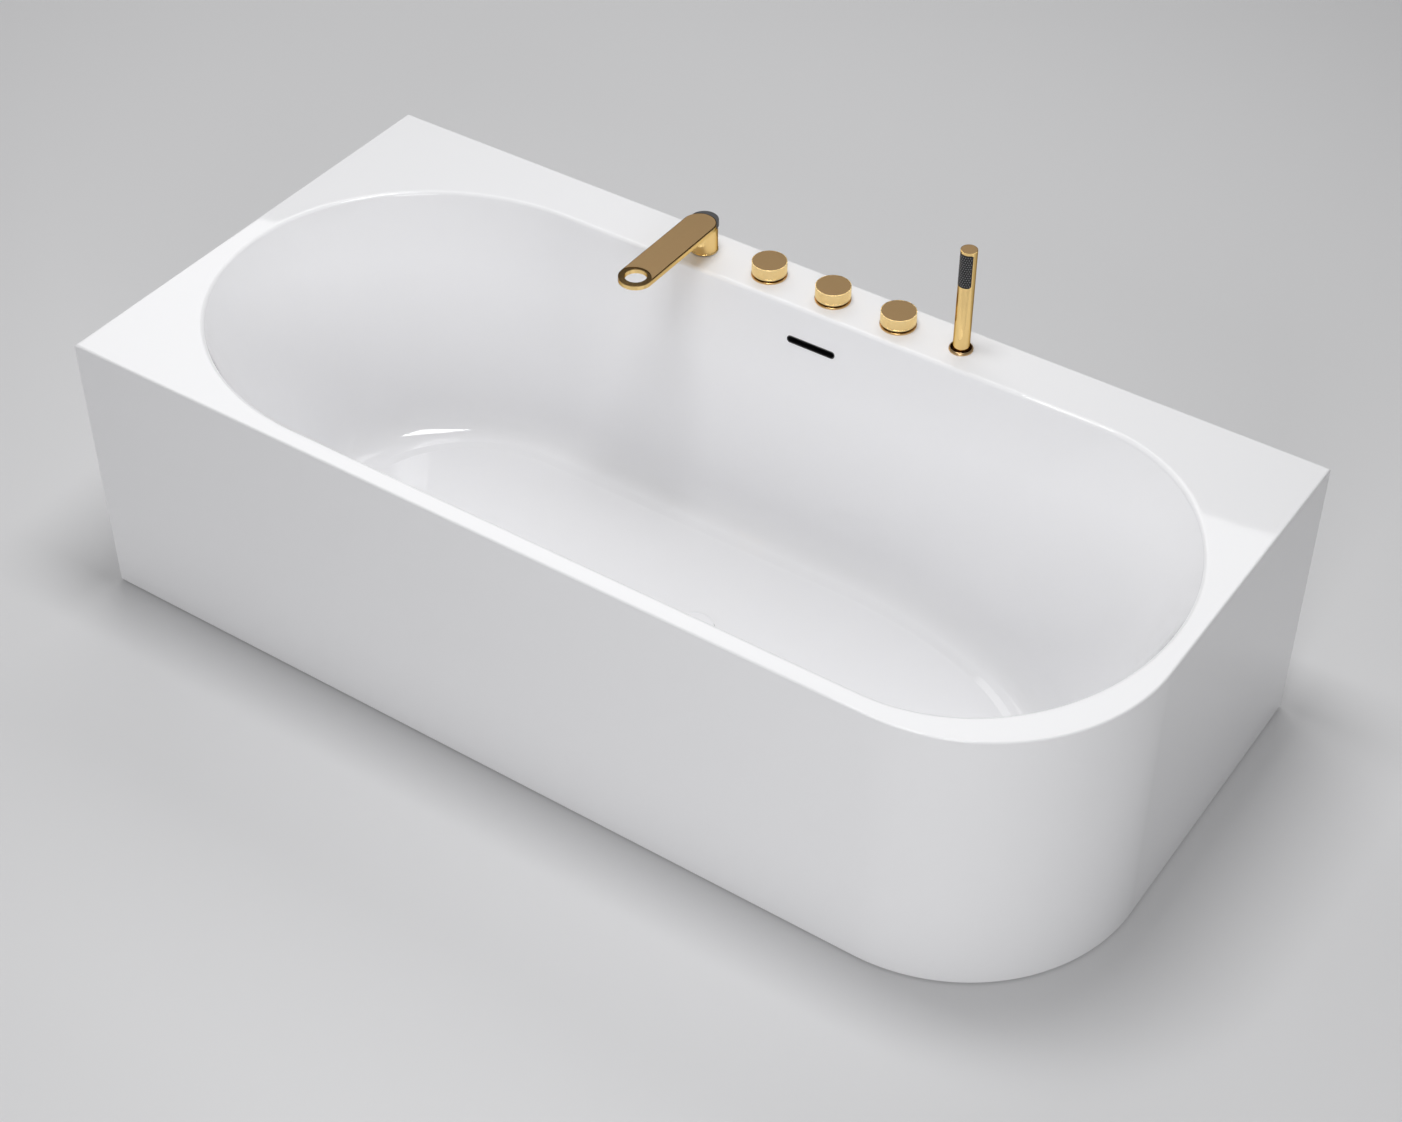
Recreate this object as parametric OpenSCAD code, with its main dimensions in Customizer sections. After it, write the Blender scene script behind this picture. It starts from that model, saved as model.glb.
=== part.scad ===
/* [Bath] */
// Length of the bath along the wall
bath_length = 1700; // [1690:10:1760]
// Width of the bath, from the wall to the front
bath_width = 800; // [790:5:820]
// Radius of the large upright corner at the front right
corner_radius = 290; // [270:5:300]
// Width of the rim at the front
rim_front = 31; // [30:1:36]
// Width of the rim at the left end
rim_left = 36; // [34:1:42]
// Width of the rim at the right end
rim_right = 29; // [28:1:34]
// Depth of the deck behind the basin, which carries the taps
deck_depth = 100; // [98:1:106]
// Thickness of the acrylic deck
deck_thick = 6; // [5:0.5:7]
// Height of the turned-down lip along the wall
lip_height = 34; // [26:2:40]
// Radius of the outer top edge
edge_radius = 3; // [1:0.5:4]

/* [Basin] */
// Depth from the rim down to the edge of the basin floor
basin_depth = 402; // [380:2:450]
// Room under that edge, for the drain, the frame and the feet
floor_room = 78; // [76:1:84]
// Drop of the basin floor inside its edge step
floor_drop = 3; // [2:0.5:4]
// Width of the sloped step around the basin floor
floor_step = 14; // [8:1:20]
// How far the long walls lean in over the depth
side_lean = 84; // [70:2:96]
// How far the left end leans in over the depth
left_lean = 138; // [120:2:160]
// How far the right end leans in over the depth
right_lean = 166; // [150:2:180]
// Half length of the round left end at the rim
left_end = 375; // [350:5:400]
// Half length of the round right end at the rim
right_end = 284; // [275:3:305]
// Half length of the round left end at the floor
left_floor_end = 286; // [270:4:310]
// Half length of the round right end at the floor
right_floor_end = 479; // [440:5:500]
// Height of the curve between wall and floor
cove_height = 52; // [40:2:60]
// Wall thickness of the basin
basin_wall = 6; // [5:0.5:7]
// Radius of the soft edge between deck and basin
lip_radius = 7; // [5:1:9]

/* [Skirt] */
// Wall thickness of the skirt
skirt_wall = 6; // [5:0.5:7]
// Gap between the skirt and the floor
skirt_gap = 3; // [2:1:5]
// Width of the flange that bonds the skirt under the rim
bond_width = 11; // [8:1:12]

/* [Fittings] */
// Distance of the middle tap, overflow and waste from the middle of the bath
fit_x = 40; // [20:5:60]
// Distance between neighbouring tap knobs
tap_pitch = 118; // [112:2:124]
// Distance from the first knob to the spout column
spout_pitch = 124; // [120:2:130]
// Distance from the last knob to the hand shower
shower_pitch = 111; // [100:1:116]
// Diameter of a tap knob
knob_d = 56.4; // [52:0.4:58]
// Height of a tap knob above the deck
knob_top = 26; // [25:0.5:30]
// Number of fine grip grooves round a knob
knob_grooves = 96; // [60:12:120]
// Quarter turn of a tap in degrees
tap_turn = 90; // [80:5:100]

/* [Spout] */
// Diameter of the spout column
column_d = 44; // [40:1:46]
// Height of the spout's upper face above the deck
spout_top = 58; // [54:1:66]
// Thickness of the spout bar
spout_thick = 9; // [8:0.5:11]
// Width of the spout bar
spout_width = 55; // [52:1:58]
// Distance from the column axis to the middle of the ring outlet
spout_reach = 187; // [160:1:200]
// Distance of the bar's round back end in front of the column axis
spout_set = 14; // [12:1:18]
// Diameter of the hole in the ring outlet
ring_hole_d = 35.5; // [34:0.5:40]

/* [Hand shower] */
// Diameter of the hand shower
stick_d = 26; // [24:0.5:28]
// Height of the hand shower's top above the deck
stick_top = 182; // [170:2:200]
// Height of the black spray panel
panel_height = 58; // [50:1:66]
// Angle of the hand shower that the spray panel covers
panel_angle = 122; // [100:2:130]
// Diameter of the hand shower's socket flange
socket_d = 38; // [37.5:0.5:44]

/* [Overflow and waste] */
// Length of the overflow slot
slot_length = 86; // [76:2:96]
// Height of the overflow slot
slot_height = 10.5; // [9:0.5:12]
// Distance of the overflow slot below the rim
slot_drop = 55; // [50:1:62]
// Diameter of the waste flange
waste_d = 66; // [62:1:72]
// Lift of the waste plug when it is pressed open
plug_lift = 8; // [6:1:10]
// Outer diameter of the drain pipes
drain_d = 40; // [38:1:40]
// Outer diameter of the overflow pipe
overflow_d = 32; // [30:1:34]

/* [Frame and feet] */
// Width of the square frame tubes
tube_w = 25; // [22:1:26]
// Wall thickness of the frame tubes
tube_wall = 2; // [1.5:0.5:3]
// Thickness of the board under the basin floor
board_thick = 12; // [10:1:13]
// Diameter of a foot pad
foot_d = 44; // [40:2:48]
// Diameter of a foot stud
stud_d = 10; // [8:1:12]
// Distance of the feet from the front and from the wall
foot_inset = 70; // [64:1:74]
// Distance of the first cross bar from the left end
bar_left = 250; // [240:5:280]
// Distance between the waste and the cross bar on its left
bar_waste_left = 302; // [290:2:320]
// Distance between the waste and the cross bar on its right
bar_waste_right = 290; // [280:2:300]
// Width of the board under the basin floor
board_width = 390; // [370:5:400]
// Distance of the wall brackets from the ends of the bath
bracket_inset = 150; // [130:5:180]

/* [Hidden] */
$fn = 96;

// Clearances: fixed joints, turning fits and free space round a hole
fixed_fit = 0.1;
turning_fit = 0.05;
hole_clear = 0.5;
join = 0.01;

// Main planes
x_left = -bath_length / 2;
x_right = bath_length / 2;
y_front = -bath_width / 2;
y_wall = bath_width / 2;
bath_height = basin_depth + floor_room;
z_rim = bath_height;
z_deck = z_rim - deck_thick;
z_edge = z_rim - basin_depth;
z_floor = z_edge - floor_drop;
z_under = z_floor - basin_wall;
z_board = z_under - board_thick;
z_bar = z_board - tube_w;

// Basin rim
rim_x0 = x_left + rim_left;
rim_x1 = x_right - rim_right;
rim_y0 = y_front + rim_front;
rim_y1 = y_wall - deck_depth;
basin_y = (rim_y0 + rim_y1) / 2;
basin_half = (rim_y1 - rim_y0) / 2;
cove_side = 38;
cove_end = 46;
cove_steps = 6;
end_step = 4.5;

// Skirt
bond_t = 5;
hem_width = 14;
hem_t = 4;
return_width = 22;
return_gap = 2;
spacer_w = 40;
spacer_wall = 6;
spacer_skin = 3;
spacer_slot = 5;

// Row of fittings on the deck
tap_y = y_wall - deck_depth / 2;
hot_x = fit_x - tap_pitch;
cold_x = fit_x + tap_pitch;
spout_x = hot_x - spout_pitch;
shower_x = cold_x + shower_pitch;

// Taps
neck_r = 14;
stem_r = 4;
valve_r = 17;
valve_flange_r = 22;
washer_t = 3;
valve_low = 52;
valve_room_r = 11;
seat_top = 34;
seat_low = 46;
room_top = 20;
port_r = 7;
thread_r = 10.48;
inlet_len = 16;
base_ring_h = 3;
base_ring_out = 0.8;
base_ring_step = 0.6;
knob_low = 4.5;
knob_r = knob_d / 2;
cap_t = 1;
knob_edge = 1.2;
knob_soft = 0.5;
knob_lip = 1.8;
knob_core_r = knob_r - 0.8;
grip_r = knob_r - 0.1;
knob_pocket = 6.5;
stem_in = 4;
neck_top = 9;
side_port_z = -28;
side_port_bore = 5.5;
side_port_len = 15;
side_port_turn = 20;
side_boss_r = 13;
side_boss_at = valve_r + 2;
disc_t = 4;
disc_port_r = 3.4;
disc_port_at = 6;
disc_gap = 0.2;
groove_depth = 0.35;

// Spout
column_r = column_d / 2;
column_low = 1.5;
cap_plate = 2.7;
cap_over = 1.5;
cap_set = 0.6;
spout_low = spout_top - spout_thick;
swivel_gap = 0.3;
column_top = spout_low - cap_plate - swivel_gap;
hub_r = 13;
hub_low = 18;
hub_bore = 9;
pocket_low = 16;
shank_in = 13;
seal_at = [24, 32];
top_plate_t = 1;
plate_in = 0.9;
plate_arc_r = 29.5;
plate_arc_at = 8.5;
channel_floor = 2;
body_top = spout_top - top_plate_t;
spout_r = spout_width / 2;
channel_w = 24;
channel_h = 3.5;
shank_r = 10;
shank_bore = 6.5;
shank_low = 60;
tail_r = 8.33;
tail_len = 14;
nut_t = 8;
seal_w = 1.6;

// Hand shower
stick_r = stick_d / 2;
sleeve_r = 12.6;
sleeve_bore = 10.9;
sleeve_low = 56;
flange_t = 4.5;
seat_z = 1;
seat_flare = 3.6;
tail_in = 12;
cap_ring = 0.7;
panel_depth = 3.4;
panel_proud = 0.15;
panel_corner = 3;
jet_r = 0.8;
jet_proud = 0.4;
panel_gap = 3.9;
panel_z1 = stick_top - panel_gap;
panel_z0 = panel_z1 - panel_height;
jet_rows = 14;
jet_step = 16;

// Waste and drain
waste_x = fit_x;
waste_y = basin_y;
waste_r = waste_d / 2;
waste_tube_r = 25;
waste_bore = 21;
seal_t = 1;
flange_top = z_floor + seal_t + 2.5;
spider_z = z_floor - 12;
spider_t = 6;
plug_r = waste_r - 1.5;
plug_seal_t = 1;
plug_low = flange_top + plug_seal_t;
plug_stem = plug_lift + 34;
lower_seal_t = 3;
body_flange_top = z_under - lower_seal_t;
body_flange_t = 6;
body_flange_r = 38;
waste_tube_len = 22;
waste_tube_low = body_flange_top - waste_tube_len;
spider_hub_r = 9;
spider_window = 46;
drain_r = drain_d / 2;
overflow_r = overflow_d / 2;
drain_z = drain_r + 11;
socket_wall = 3.5;
pipe_wall = 2;
pipe_fit = 0.2;
socket_len = 45;
branch_len = 14;
overflow_branch_len = 16;
waste_body_r = 32;
waste_body_low = 5;
trap_offset = 106;
trap_x = waste_x + trap_offset;
trap_r = 42;
trap_low = 5;
trap_top = z_board - 1;
trap_wall = 3;
lid_t = 4;
baffle_t = 3;
baffle_gap = 8;
baffle_low = 14;

// Overflow
slot_z = z_rim - slot_drop;
lean_angle = atan(side_lean / basin_depth);
slot_y = rim_y1 - side_lean * slot_drop / basin_depth;
trim_face = 0.6;
trim_wall = 1.2;
trim_lap = 0.6;
trim_tail = 6;
head_gasket = 2;
head_back = basin_wall + head_gasket;
trim_depth = head_back + trim_tail;
head_depth = 24;
head_wall = 3;
head_side = 12;
head_mouth = 6;
head_branch = 46;
head_pipe_in = 20;
head_reach = 27.5;
overflow_y = slot_y + head_reach;
bend_r = 40;

// Frame
bars = [x_left + bar_left, waste_x - bar_waste_left, waste_x + bar_waste_right,
    x_right - corner_radius - 20];
rail_x0 = x_left + 70;
rail_set = 11;
rail_y0 = y_front + skirt_wall + rail_set;
back_gap = 12;
post_y0 = y_wall - back_gap - tube_w;
post_pad = 4;
rail_z = 130;
board_x0 = bars[0] - 20;
board_x1 = bars[3] + 20;
board_round = 60;
board_hole_r = 48;

// Feet
pad_t = 5;
pad_neck_t = 14;
pad_neck_wall = 4;
stud_over = 14;
foot_nut_t = 7;
foot_nut_w = stud_d * 1.7;
foot_y = bath_width / 2 - foot_inset;

// Wall brackets
bracket_x = bath_length / 2 - bracket_inset;
bracket_w = 80;
bracket_h = 60;
bracket_t = 3;
bracket_shelf = 14;
bracket_pitch = 40;
bracket_slot = 16;
bracket_slot_w = 7;
bracket_slot_z = 24;
bracket_rib = 30;

// Outline of the bath seen from above, drawn in by a distance
module outline(inset) {
    r = corner_radius - inset;
    difference() {
        translate([x_left + inset, y_front + inset])
            square([bath_length - 2 * inset, bath_width - inset]);
        translate([x_right - corner_radius, y_front - 1])
            square([corner_radius + 1, corner_radius + 1]);
    }
    intersection() {
        translate([x_right - corner_radius, y_front + corner_radius]) circle(r, $fn = 240);
        translate([x_right - corner_radius, y_front])
            square([corner_radius, corner_radius]);
    }
}

// Band that follows the left end, front, round corner and right end
module band(out, width, z0, z1, y_end) {
    translate([0, 0, z0]) linear_extrude(z1 - z0) difference() {
        outline(out);
        outline(out + width);
        translate([x_left - 1, y_end]) square([bath_length + 2, bath_width]);
    }
}

// One closed ring of basin points: t runs from the rim to the floor corner
function mix(a, b, t) = a + (b - a) * t;
function ring(t, side, end, z) = let (
    half = basin_half - side_lean * t - side,
    len_l = mix(left_end, left_floor_end, t) - end,
    len_r = mix(right_end, right_floor_end, t) - end,
    mid_l = rim_x0 + left_lean * t + end + len_l,
    mid_r = rim_x1 - right_lean * t - end - len_r
) [
    for (a = [-90 : end_step : 90]) [mid_r + len_r * cos(a), basin_y + half * sin(a), z],
    for (a = [90 : end_step : 270]) [mid_l + len_l * cos(a), basin_y + half * sin(a), z]];

// Solid through a list of rings, from the lowest to the highest
module loft(rings) {
    n = len(rings[0]);
    m = len(rings);
    sides = [for (k = [0 : m - 2], i = [0 : n - 1])
        let (j = (i + 1) % n)
        each [[k * n + i, (k + 1) * n + i, (k + 1) * n + j],
              [k * n + i, (k + 1) * n + j, k * n + j]]];
    low = [[for (i = [0 : n - 1]) i]];
    high = [[for (i = [n - 1 : -1 : 0]) (m - 1) * n + i]];
    polyhedron([for (r = rings) each r], concat(low, sides, high), convexity = 4);
}

// Curve between wall and floor, u from 1 at the floor to 0 at the wall
function cove_t(u) = 1 - pow(1 - u, 2) * cove_height / basin_depth;
function cove_in(u, c) = pow(u, 2) * c;
function cove_z(u) = z_edge + pow(1 - u, 2) * cove_height;

// Hollow of the basin, grown outwards by a wall
module basin_form(grow, top, soft) {
    low = [ring(1, cove_side + floor_step - grow, cove_end + floor_step - grow, z_floor - grow)];
    cove = [for (k = [cove_steps : -1 : 0])
        let (u = k / cove_steps)
        ring(cove_t(u), cove_in(u, cove_side) - grow, cove_in(u, cove_end) - grow,
            cove_z(u) - grow * u)];
    t_top = soft ? lip_radius / basin_depth : (z_rim - top) / basin_depth;
    wall = [ring(t_top, -grow, -grow, soft ? z_rim - lip_radius : top)];
    lip = [for (a = [18 : 18 : 90])
        ring(lip_radius / basin_depth, -lip_radius * (1 - cos(a)), -lip_radius * (1 - cos(a)),
            z_rim - lip_radius + lip_radius * sin(a))];
    over = [ring(lip_radius / basin_depth, -lip_radius, -lip_radius, z_rim + 1)];
    if (soft) loft(concat(low, cove, wall, lip, over));
    else loft(concat(low, cove, wall));
}

// Cutters that round the outer top edge of the deck
module edge_profile() {
    difference() {
        translate([-edge_radius, -edge_radius]) square(edge_radius + 1);
        translate([-edge_radius, -edge_radius]) circle(edge_radius, $fn = 48);
    }
}
module edge_cut() {
    straight = bath_length - corner_radius;
    translate([x_left - 1, y_front, z_rim]) rotate([90, 0, 90])
        linear_extrude(straight + 1) mirror([1, 0]) edge_profile();
    translate([x_left, y_wall + 1, z_rim]) rotate([90, 0, 0])
        linear_extrude(bath_width + 2) mirror([1, 0]) edge_profile();
    translate([x_right, y_wall + 1, z_rim]) rotate([90, 0, 0])
        linear_extrude(bath_width + 1 - corner_radius) edge_profile();
    translate([x_right - corner_radius, y_front + corner_radius, z_rim])
        rotate([0, 0, -90]) rotate_extrude(angle = 90, $fn = 240)
            translate([corner_radius, 0]) edge_profile();
}

// Bar with round ends along X, drawn around the origin
module stadium(length, height) {
    for (s = [-1, 1]) translate([s * (length - height) / 2, 0]) circle(d = height);
    square([length - height, height], center = true);
}

// Moves to the overflow slot, with Z out of the wall into the basin
module at_slot() {
    translate([fit_x, slot_y, slot_z]) rotate([90 - lean_angle, 0, 0]) children();
}

// Moves to a place in the row of fittings, with Z up from the deck
module at_deck(x) {
    translate([x, tap_y, z_rim]) children();
}

module tube(r, bore, z0, z1) {
    translate([0, 0, z0]) difference() {
        cylinder(r = r, h = z1 - z0);
        translate([0, 0, -1]) cylinder(r = bore, h = z1 - z0 + 2);
    }
}

module drill(r, z0, z1) {
    translate([0, 0, z0]) cylinder(r = r, h = z1 - z0);
}

module hex_nut(across, bore, z0, z1) {
    translate([0, 0, z0]) difference() {
        cylinder(r = across / sqrt(3), h = z1 - z0, $fn = 6);
        translate([0, 0, -1]) cylinder(r = bore, h = z1 - z0 + 2);
    }
}

module bath_shell() color("white") difference() {
    union() {
        translate([0, 0, z_deck]) linear_extrude(deck_thick) outline(0);
        basin_form(basin_wall, z_deck + 1, false);
        translate([x_left + skirt_wall, y_wall - deck_thick, z_deck - lip_height])
            cube([bath_length - 2 * skirt_wall, deck_thick, lip_height + 1]);
    }
    basin_form(0, z_rim, true);
    edge_cut();
    for (x = [hot_x, fit_x, cold_x]) at_deck(x) drill(neck_r + hole_clear, -deck_thick - 1, 1);
    at_deck(spout_x) drill(shank_r + hole_clear, -deck_thick - 1, 1);
    at_deck(shower_x) drill(sleeve_r + hole_clear, -deck_thick - 1, 1);
    at_slot() translate([0, 0, -basin_wall * 3]) linear_extrude(basin_wall * 5)
        stadium(slot_length, slot_height);
    translate([waste_x, waste_y, 0])
        drill(waste_tube_r + hole_clear, z_under - 1, z_floor + 1);
}

module skirt() color("whitesmoke") {
    band(0, skirt_wall, skirt_gap, z_deck, y_wall);
    band(skirt_wall - join, bond_width, z_deck - bond_t, z_deck, y_wall - deck_thick);
    band(skirt_wall - join, hem_width, skirt_gap, skirt_gap + hem_t, y_wall - deck_thick);
    for (s = [0, 1]) mirror([s, 0, 0])
        translate([x_right - skirt_wall - return_width, y_wall - deck_thick, skirt_gap])
            cube([return_width + join, deck_thick, z_deck - lip_height - return_gap - skirt_gap]);
}

// Blocks that hold the skirt to the front rail
module skirt_spacers() color("gainsboro") for (i = [0 : len(bars) - 2])
    translate([(bars[i] + bars[i + 1] - spacer_w) / 2, y_front + skirt_wall, z_bar])
        difference() {
            cube([spacer_w, rail_set, tube_w]);
            translate([spacer_wall, spacer_skin, -1])
                cube([spacer_w - 2 * spacer_wall, spacer_slot, tube_w + 2]);
        }

// Board with round corners on the cross bars, open round the waste
module floor_board() color("burlywood") translate([0, basin_y, z_board])
    linear_extrude(board_thick) difference() {
        union() {
            for (x = [board_x0 + board_round, board_x1 - board_round],
                y = [board_round - board_width / 2, board_width / 2 - board_round])
                    translate([x, y]) circle(board_round);
            translate([board_x0 + board_round, -board_width / 2])
                square([board_x1 - board_x0 - 2 * board_round, board_width]);
            translate([board_x0, board_round - board_width / 2])
                square([board_x1 - board_x0, board_width - 2 * board_round]);
        }
        translate([waste_x, waste_y - basin_y]) circle(board_hole_r);
    }

// Square tube along X, Y or Z from its lowest corner
module square_tube(size) {
    along = max(size);
    difference() {
        cube(size);
        translate([for (s = size) s == along ? -1 : tube_wall])
            cube([for (s = size) s == along ? along + 2 : s - 2 * tube_wall]);
    }
}

module cross_bars() color("silver") for (x = bars) difference() {
    translate([x - tube_w / 2, rail_y0 + tube_w, z_bar])
        square_tube([tube_w, y_wall - back_gap - rail_y0 - tube_w, tube_w]);
    for (y = [-foot_y, foot_y])
        translate([x, y, 0]) drill(stud_d / 2 + hole_clear, z_bar - 1, z_board + 1);
}

module front_rail() color("silver") translate([rail_x0, rail_y0, z_bar])
    square_tube([bars[3] + tube_w / 2 - rail_x0, tube_w, tube_w]);

module rear_posts() color("silver") for (x = bars) translate([x - tube_w / 2, post_y0, z_board])
    square_tube([tube_w, tube_w, z_deck - post_pad - z_board]);

module rear_rails() color("silver") for (i = [0 : len(bars) - 2])
    translate([bars[i] + tube_w / 2, post_y0, rail_z])
        square_tube([bars[i + 1] - bars[i] - tube_w, tube_w, tube_w]);

module post_pads() color("dimgray") for (x = bars)
    translate([x - tube_w / 2, post_y0, z_deck - post_pad]) cube([tube_w, tube_w, post_pad]);

module foot_pads() color("dimgray") for (x = bars, y = [-foot_y, foot_y])
    translate([x, y, 0]) difference() {
        union() {
            cylinder(d = foot_d, h = pad_t);
            cylinder(d = stud_d + 2 * pad_neck_wall, h = pad_neck_t);
        }
        drill(stud_d / 2 + fixed_fit, pad_t, pad_neck_t + 1);
    }

module foot_studs() color("silver") for (x = bars, y = [-foot_y, foot_y])
    translate([x, y, pad_t]) cylinder(d = stud_d, h = z_board + stud_over - pad_t);

module foot_nuts() color("silver") for (x = bars, y = [-foot_y, foot_y])
    translate([x, y, 0]) {
        hex_nut(foot_nut_w, stud_d / 2 + fixed_fit, z_bar - foot_nut_t, z_bar);
        hex_nut(foot_nut_w, stud_d / 2 + fixed_fit, z_board, z_board + foot_nut_t);
    }

// Angles on the wall that the turned-down lip rests on
module wall_brackets() color("silver") for (x = [-bracket_x, bracket_x])
    translate([x, y_wall - bracket_t, z_deck - lip_height - bracket_h]) difference() {
        union() {
            translate([-bracket_w / 2, 0, 0]) cube([bracket_w, bracket_t, bracket_h]);
            translate([-bracket_w / 2, -bracket_shelf, bracket_h - bracket_t])
                cube([bracket_w, bracket_shelf + join, bracket_t]);
            for (s = [-bracket_w / 2, bracket_w / 2 - bracket_t])
                translate([s, join, bracket_h - bracket_t + join]) rotate([90, 90, 90])
                    linear_extrude(bracket_t)
                        polygon([[0, 0], [bracket_rib, 0], [0, 1 - bracket_shelf]]);
        }
        for (s = [-1, 1])
            translate([s * bracket_pitch / 2, bracket_t + 1, bracket_slot_z]) rotate([90, 0, 0])
                linear_extrude(bracket_t + 2) stadium(bracket_slot, bracket_slot_w);
    }

module waste_flange() color("whitesmoke") translate([waste_x, waste_y, 0]) {
    difference() {
        union() {
            drill(waste_r, z_floor + seal_t, flange_top);
            drill(waste_tube_r, waste_tube_low, flange_top);
        }
        drill(waste_bore, spider_z, flange_top + 1);
        drill(waste_bore, waste_tube_low - 1, spider_z - spider_t);
        for (a = [0 : 60 : 300]) rotate(a) translate([0, 0, spider_z - spider_t - 1])
            rotate_extrude(angle = spider_window) translate([spider_hub_r, 0])
                square([waste_bore - 1 - spider_hub_r, spider_t + 2]);
        drill(stem_r + turning_fit, spider_z - spider_t - 1, spider_z + 1);
    }
}

module waste_plug() color("white") translate([waste_x, waste_y, 0]) {
    rotate_extrude() polygon([[0, plug_low], [plug_r - 1, plug_low], [plug_r, plug_low + 1],
        [plug_r, plug_low + 2.5], [plug_r - 2, plug_low + 4], [plug_r - 8, plug_low + 5],
        [plug_r - 17, plug_low + 5.6], [0, plug_low + 6]]);
    drill(stem_r, plug_low - plug_stem, plug_low + join);
}

module plug_seal() color("dimgray") translate([waste_x, waste_y, 0])
    tube(plug_r - 2, waste_bore + 1, flange_top, plug_low);

module waste_seals() color("dimgray") translate([waste_x, waste_y, 0]) {
    tube(waste_r - 1, waste_tube_r + fixed_fit, z_floor, z_floor + seal_t);
    tube(body_flange_r, waste_tube_r + fixed_fit, body_flange_top, z_under);
}

// Points at the drain level, with Z along the pipe
module drain_along_x(x) {
    translate([x, waste_y, drain_z]) rotate([0, 90, 0]) children();
}
module drain_along_y(x, y) {
    translate([x, y, drain_z]) rotate([-90, 0, 0]) children();
}

module waste_body() color("gainsboro") difference() {
    union() {
        translate([waste_x, waste_y, 0]) {
            drill(body_flange_r, body_flange_top - body_flange_t, body_flange_top);
            drill(waste_body_r, waste_body_low, body_flange_top);
        }
        drain_along_x(waste_x) drill(drain_r + socket_wall, 0, waste_body_r + branch_len);
        drain_along_y(waste_x, waste_y)
            drill(overflow_r + socket_wall, 0, waste_body_r + overflow_branch_len);
    }
    translate([waste_x, waste_y, 0]) {
        drill(waste_tube_r + fixed_fit, waste_tube_low, body_flange_top + 1);
        drill(waste_body_r - trap_wall - 2, waste_body_low + trap_wall, waste_tube_low);
    }
    drain_along_x(waste_x) {
        drill(drain_r - pipe_wall, 0, waste_body_r + 1);
        drill(drain_r + fixed_fit, waste_body_r, waste_body_r + branch_len + 1);
    }
    drain_along_y(waste_x, waste_y) {
        drill(overflow_r - pipe_wall, 0, waste_body_r + 1);
        drill(overflow_r + fixed_fit, waste_body_r, waste_body_r + overflow_branch_len + 1);
    }
}

module waste_link() color("gainsboro") drain_along_x(waste_x)
    tube(drain_r, drain_r - pipe_wall, waste_body_r, trap_x - waste_x - trap_r);

// Shallow trap: the hanging wall in the middle holds back the smell
module trap_body() color("gainsboro") difference() {
    union() {
        translate([trap_x, waste_y, 0]) drill(trap_r, trap_low, trap_top - lid_t);
        drain_along_x(trap_x) drill(drain_r + socket_wall, -trap_r - branch_len, 6 - trap_r);
        drain_along_y(trap_x, waste_y) drill(drain_r + socket_wall, trap_r - 6, trap_r + branch_len);
    }
    translate([trap_x, waste_y, 0]) {
        drill(trap_r - trap_wall, trap_low + trap_wall, trap_top);
        drill(trap_r + fixed_fit, trap_top - lid_t, trap_top + 1);
    }
    drain_along_x(trap_x) {
        drill(drain_r + fixed_fit, -trap_r - branch_len - 1, -trap_r);
        drill(drain_r - pipe_wall, -trap_r - 1, 12 - trap_r);
    }
    drain_along_y(trap_x, waste_y) {
        drill(drain_r - pipe_wall, trap_r - 12, trap_r + 1);
        drill(drain_r + fixed_fit, trap_r, trap_r + branch_len + 1);
    }
}

module trap_lid() color("gray") translate([trap_x, waste_y, 0]) {
    drill(trap_r, trap_top - lid_t, trap_top);
    rotate(45) translate([-baffle_t / 2, baffle_gap - trap_r, trap_low + baffle_low])
        cube([baffle_t, 2 * (trap_r - baffle_gap), trap_top - lid_t + 1 - trap_low - baffle_low]);
}

// Pipe to the wall, with a push-fit socket at its end
module outlet_pipe() color("gainsboro") drain_along_y(trap_x, waste_y) {
    tube(drain_r, drain_r - pipe_wall, trap_r, y_wall - waste_y - socket_len);
    tube(drain_r + socket_wall, drain_r - pipe_wall,
        y_wall - waste_y - socket_len - socket_wall, y_wall - waste_y - socket_len);
    tube(drain_r + socket_wall, drain_r + pipe_fit, y_wall - waste_y - socket_len, y_wall - waste_y);
}

module overflow_trim() color("black") at_slot() difference() {
    union() {
        translate([0, 0, -trim_depth]) linear_extrude(trim_depth)
            stadium(slot_length - 2 * fixed_fit, slot_height - 2 * fixed_fit);
        linear_extrude(trim_face) stadium(slot_length + 2 * trim_lap, slot_height + 2 * trim_lap);
    }
    translate([0, 0, -trim_depth - 1]) linear_extrude(trim_depth + trim_face + 2)
        stadium(slot_length - 2 * trim_wall, slot_height - 2 * trim_wall);
}

module overflow_gasket() color("dimgray") at_slot()
    translate([0, 0, -head_back]) linear_extrude(head_gasket - fixed_fit) difference() {
        stadium(slot_length + 2 * (head_side - 1), slot_height + 2 * (head_side - 1));
        stadium(slot_length + 2 * hole_clear, slot_height + 2 * hole_clear);
    }

module overflow_head() color("gainsboro") difference() {
    union() {
        at_slot() translate([0, 0, -head_back - head_depth]) linear_extrude(head_depth)
            stadium(slot_length + 2 * head_side, slot_height + 2 * head_side);
        translate([fit_x, overflow_y, slot_z]) drill(overflow_r + socket_wall, -head_branch, 0);
    }
    at_slot() {
        translate([0, 0, head_wall - head_back - head_depth])
            linear_extrude(head_depth - head_wall - head_mouth)
                stadium(slot_length + 2 * (head_side - head_wall),
                    slot_height + 2 * (head_side - head_wall));
        translate([0, 0, -head_back - head_mouth - 1]) linear_extrude(head_mouth + 2)
            stadium(slot_length + 2 * fixed_fit, slot_height + 2 * fixed_fit);
    }
    translate([fit_x, overflow_y, slot_z]) {
        drill(overflow_r + fixed_fit, -head_branch - 1, head_pipe_in - head_branch);
        drill(overflow_r - pipe_wall, head_pipe_in - head_branch - 1, -6);
    }
}

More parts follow.
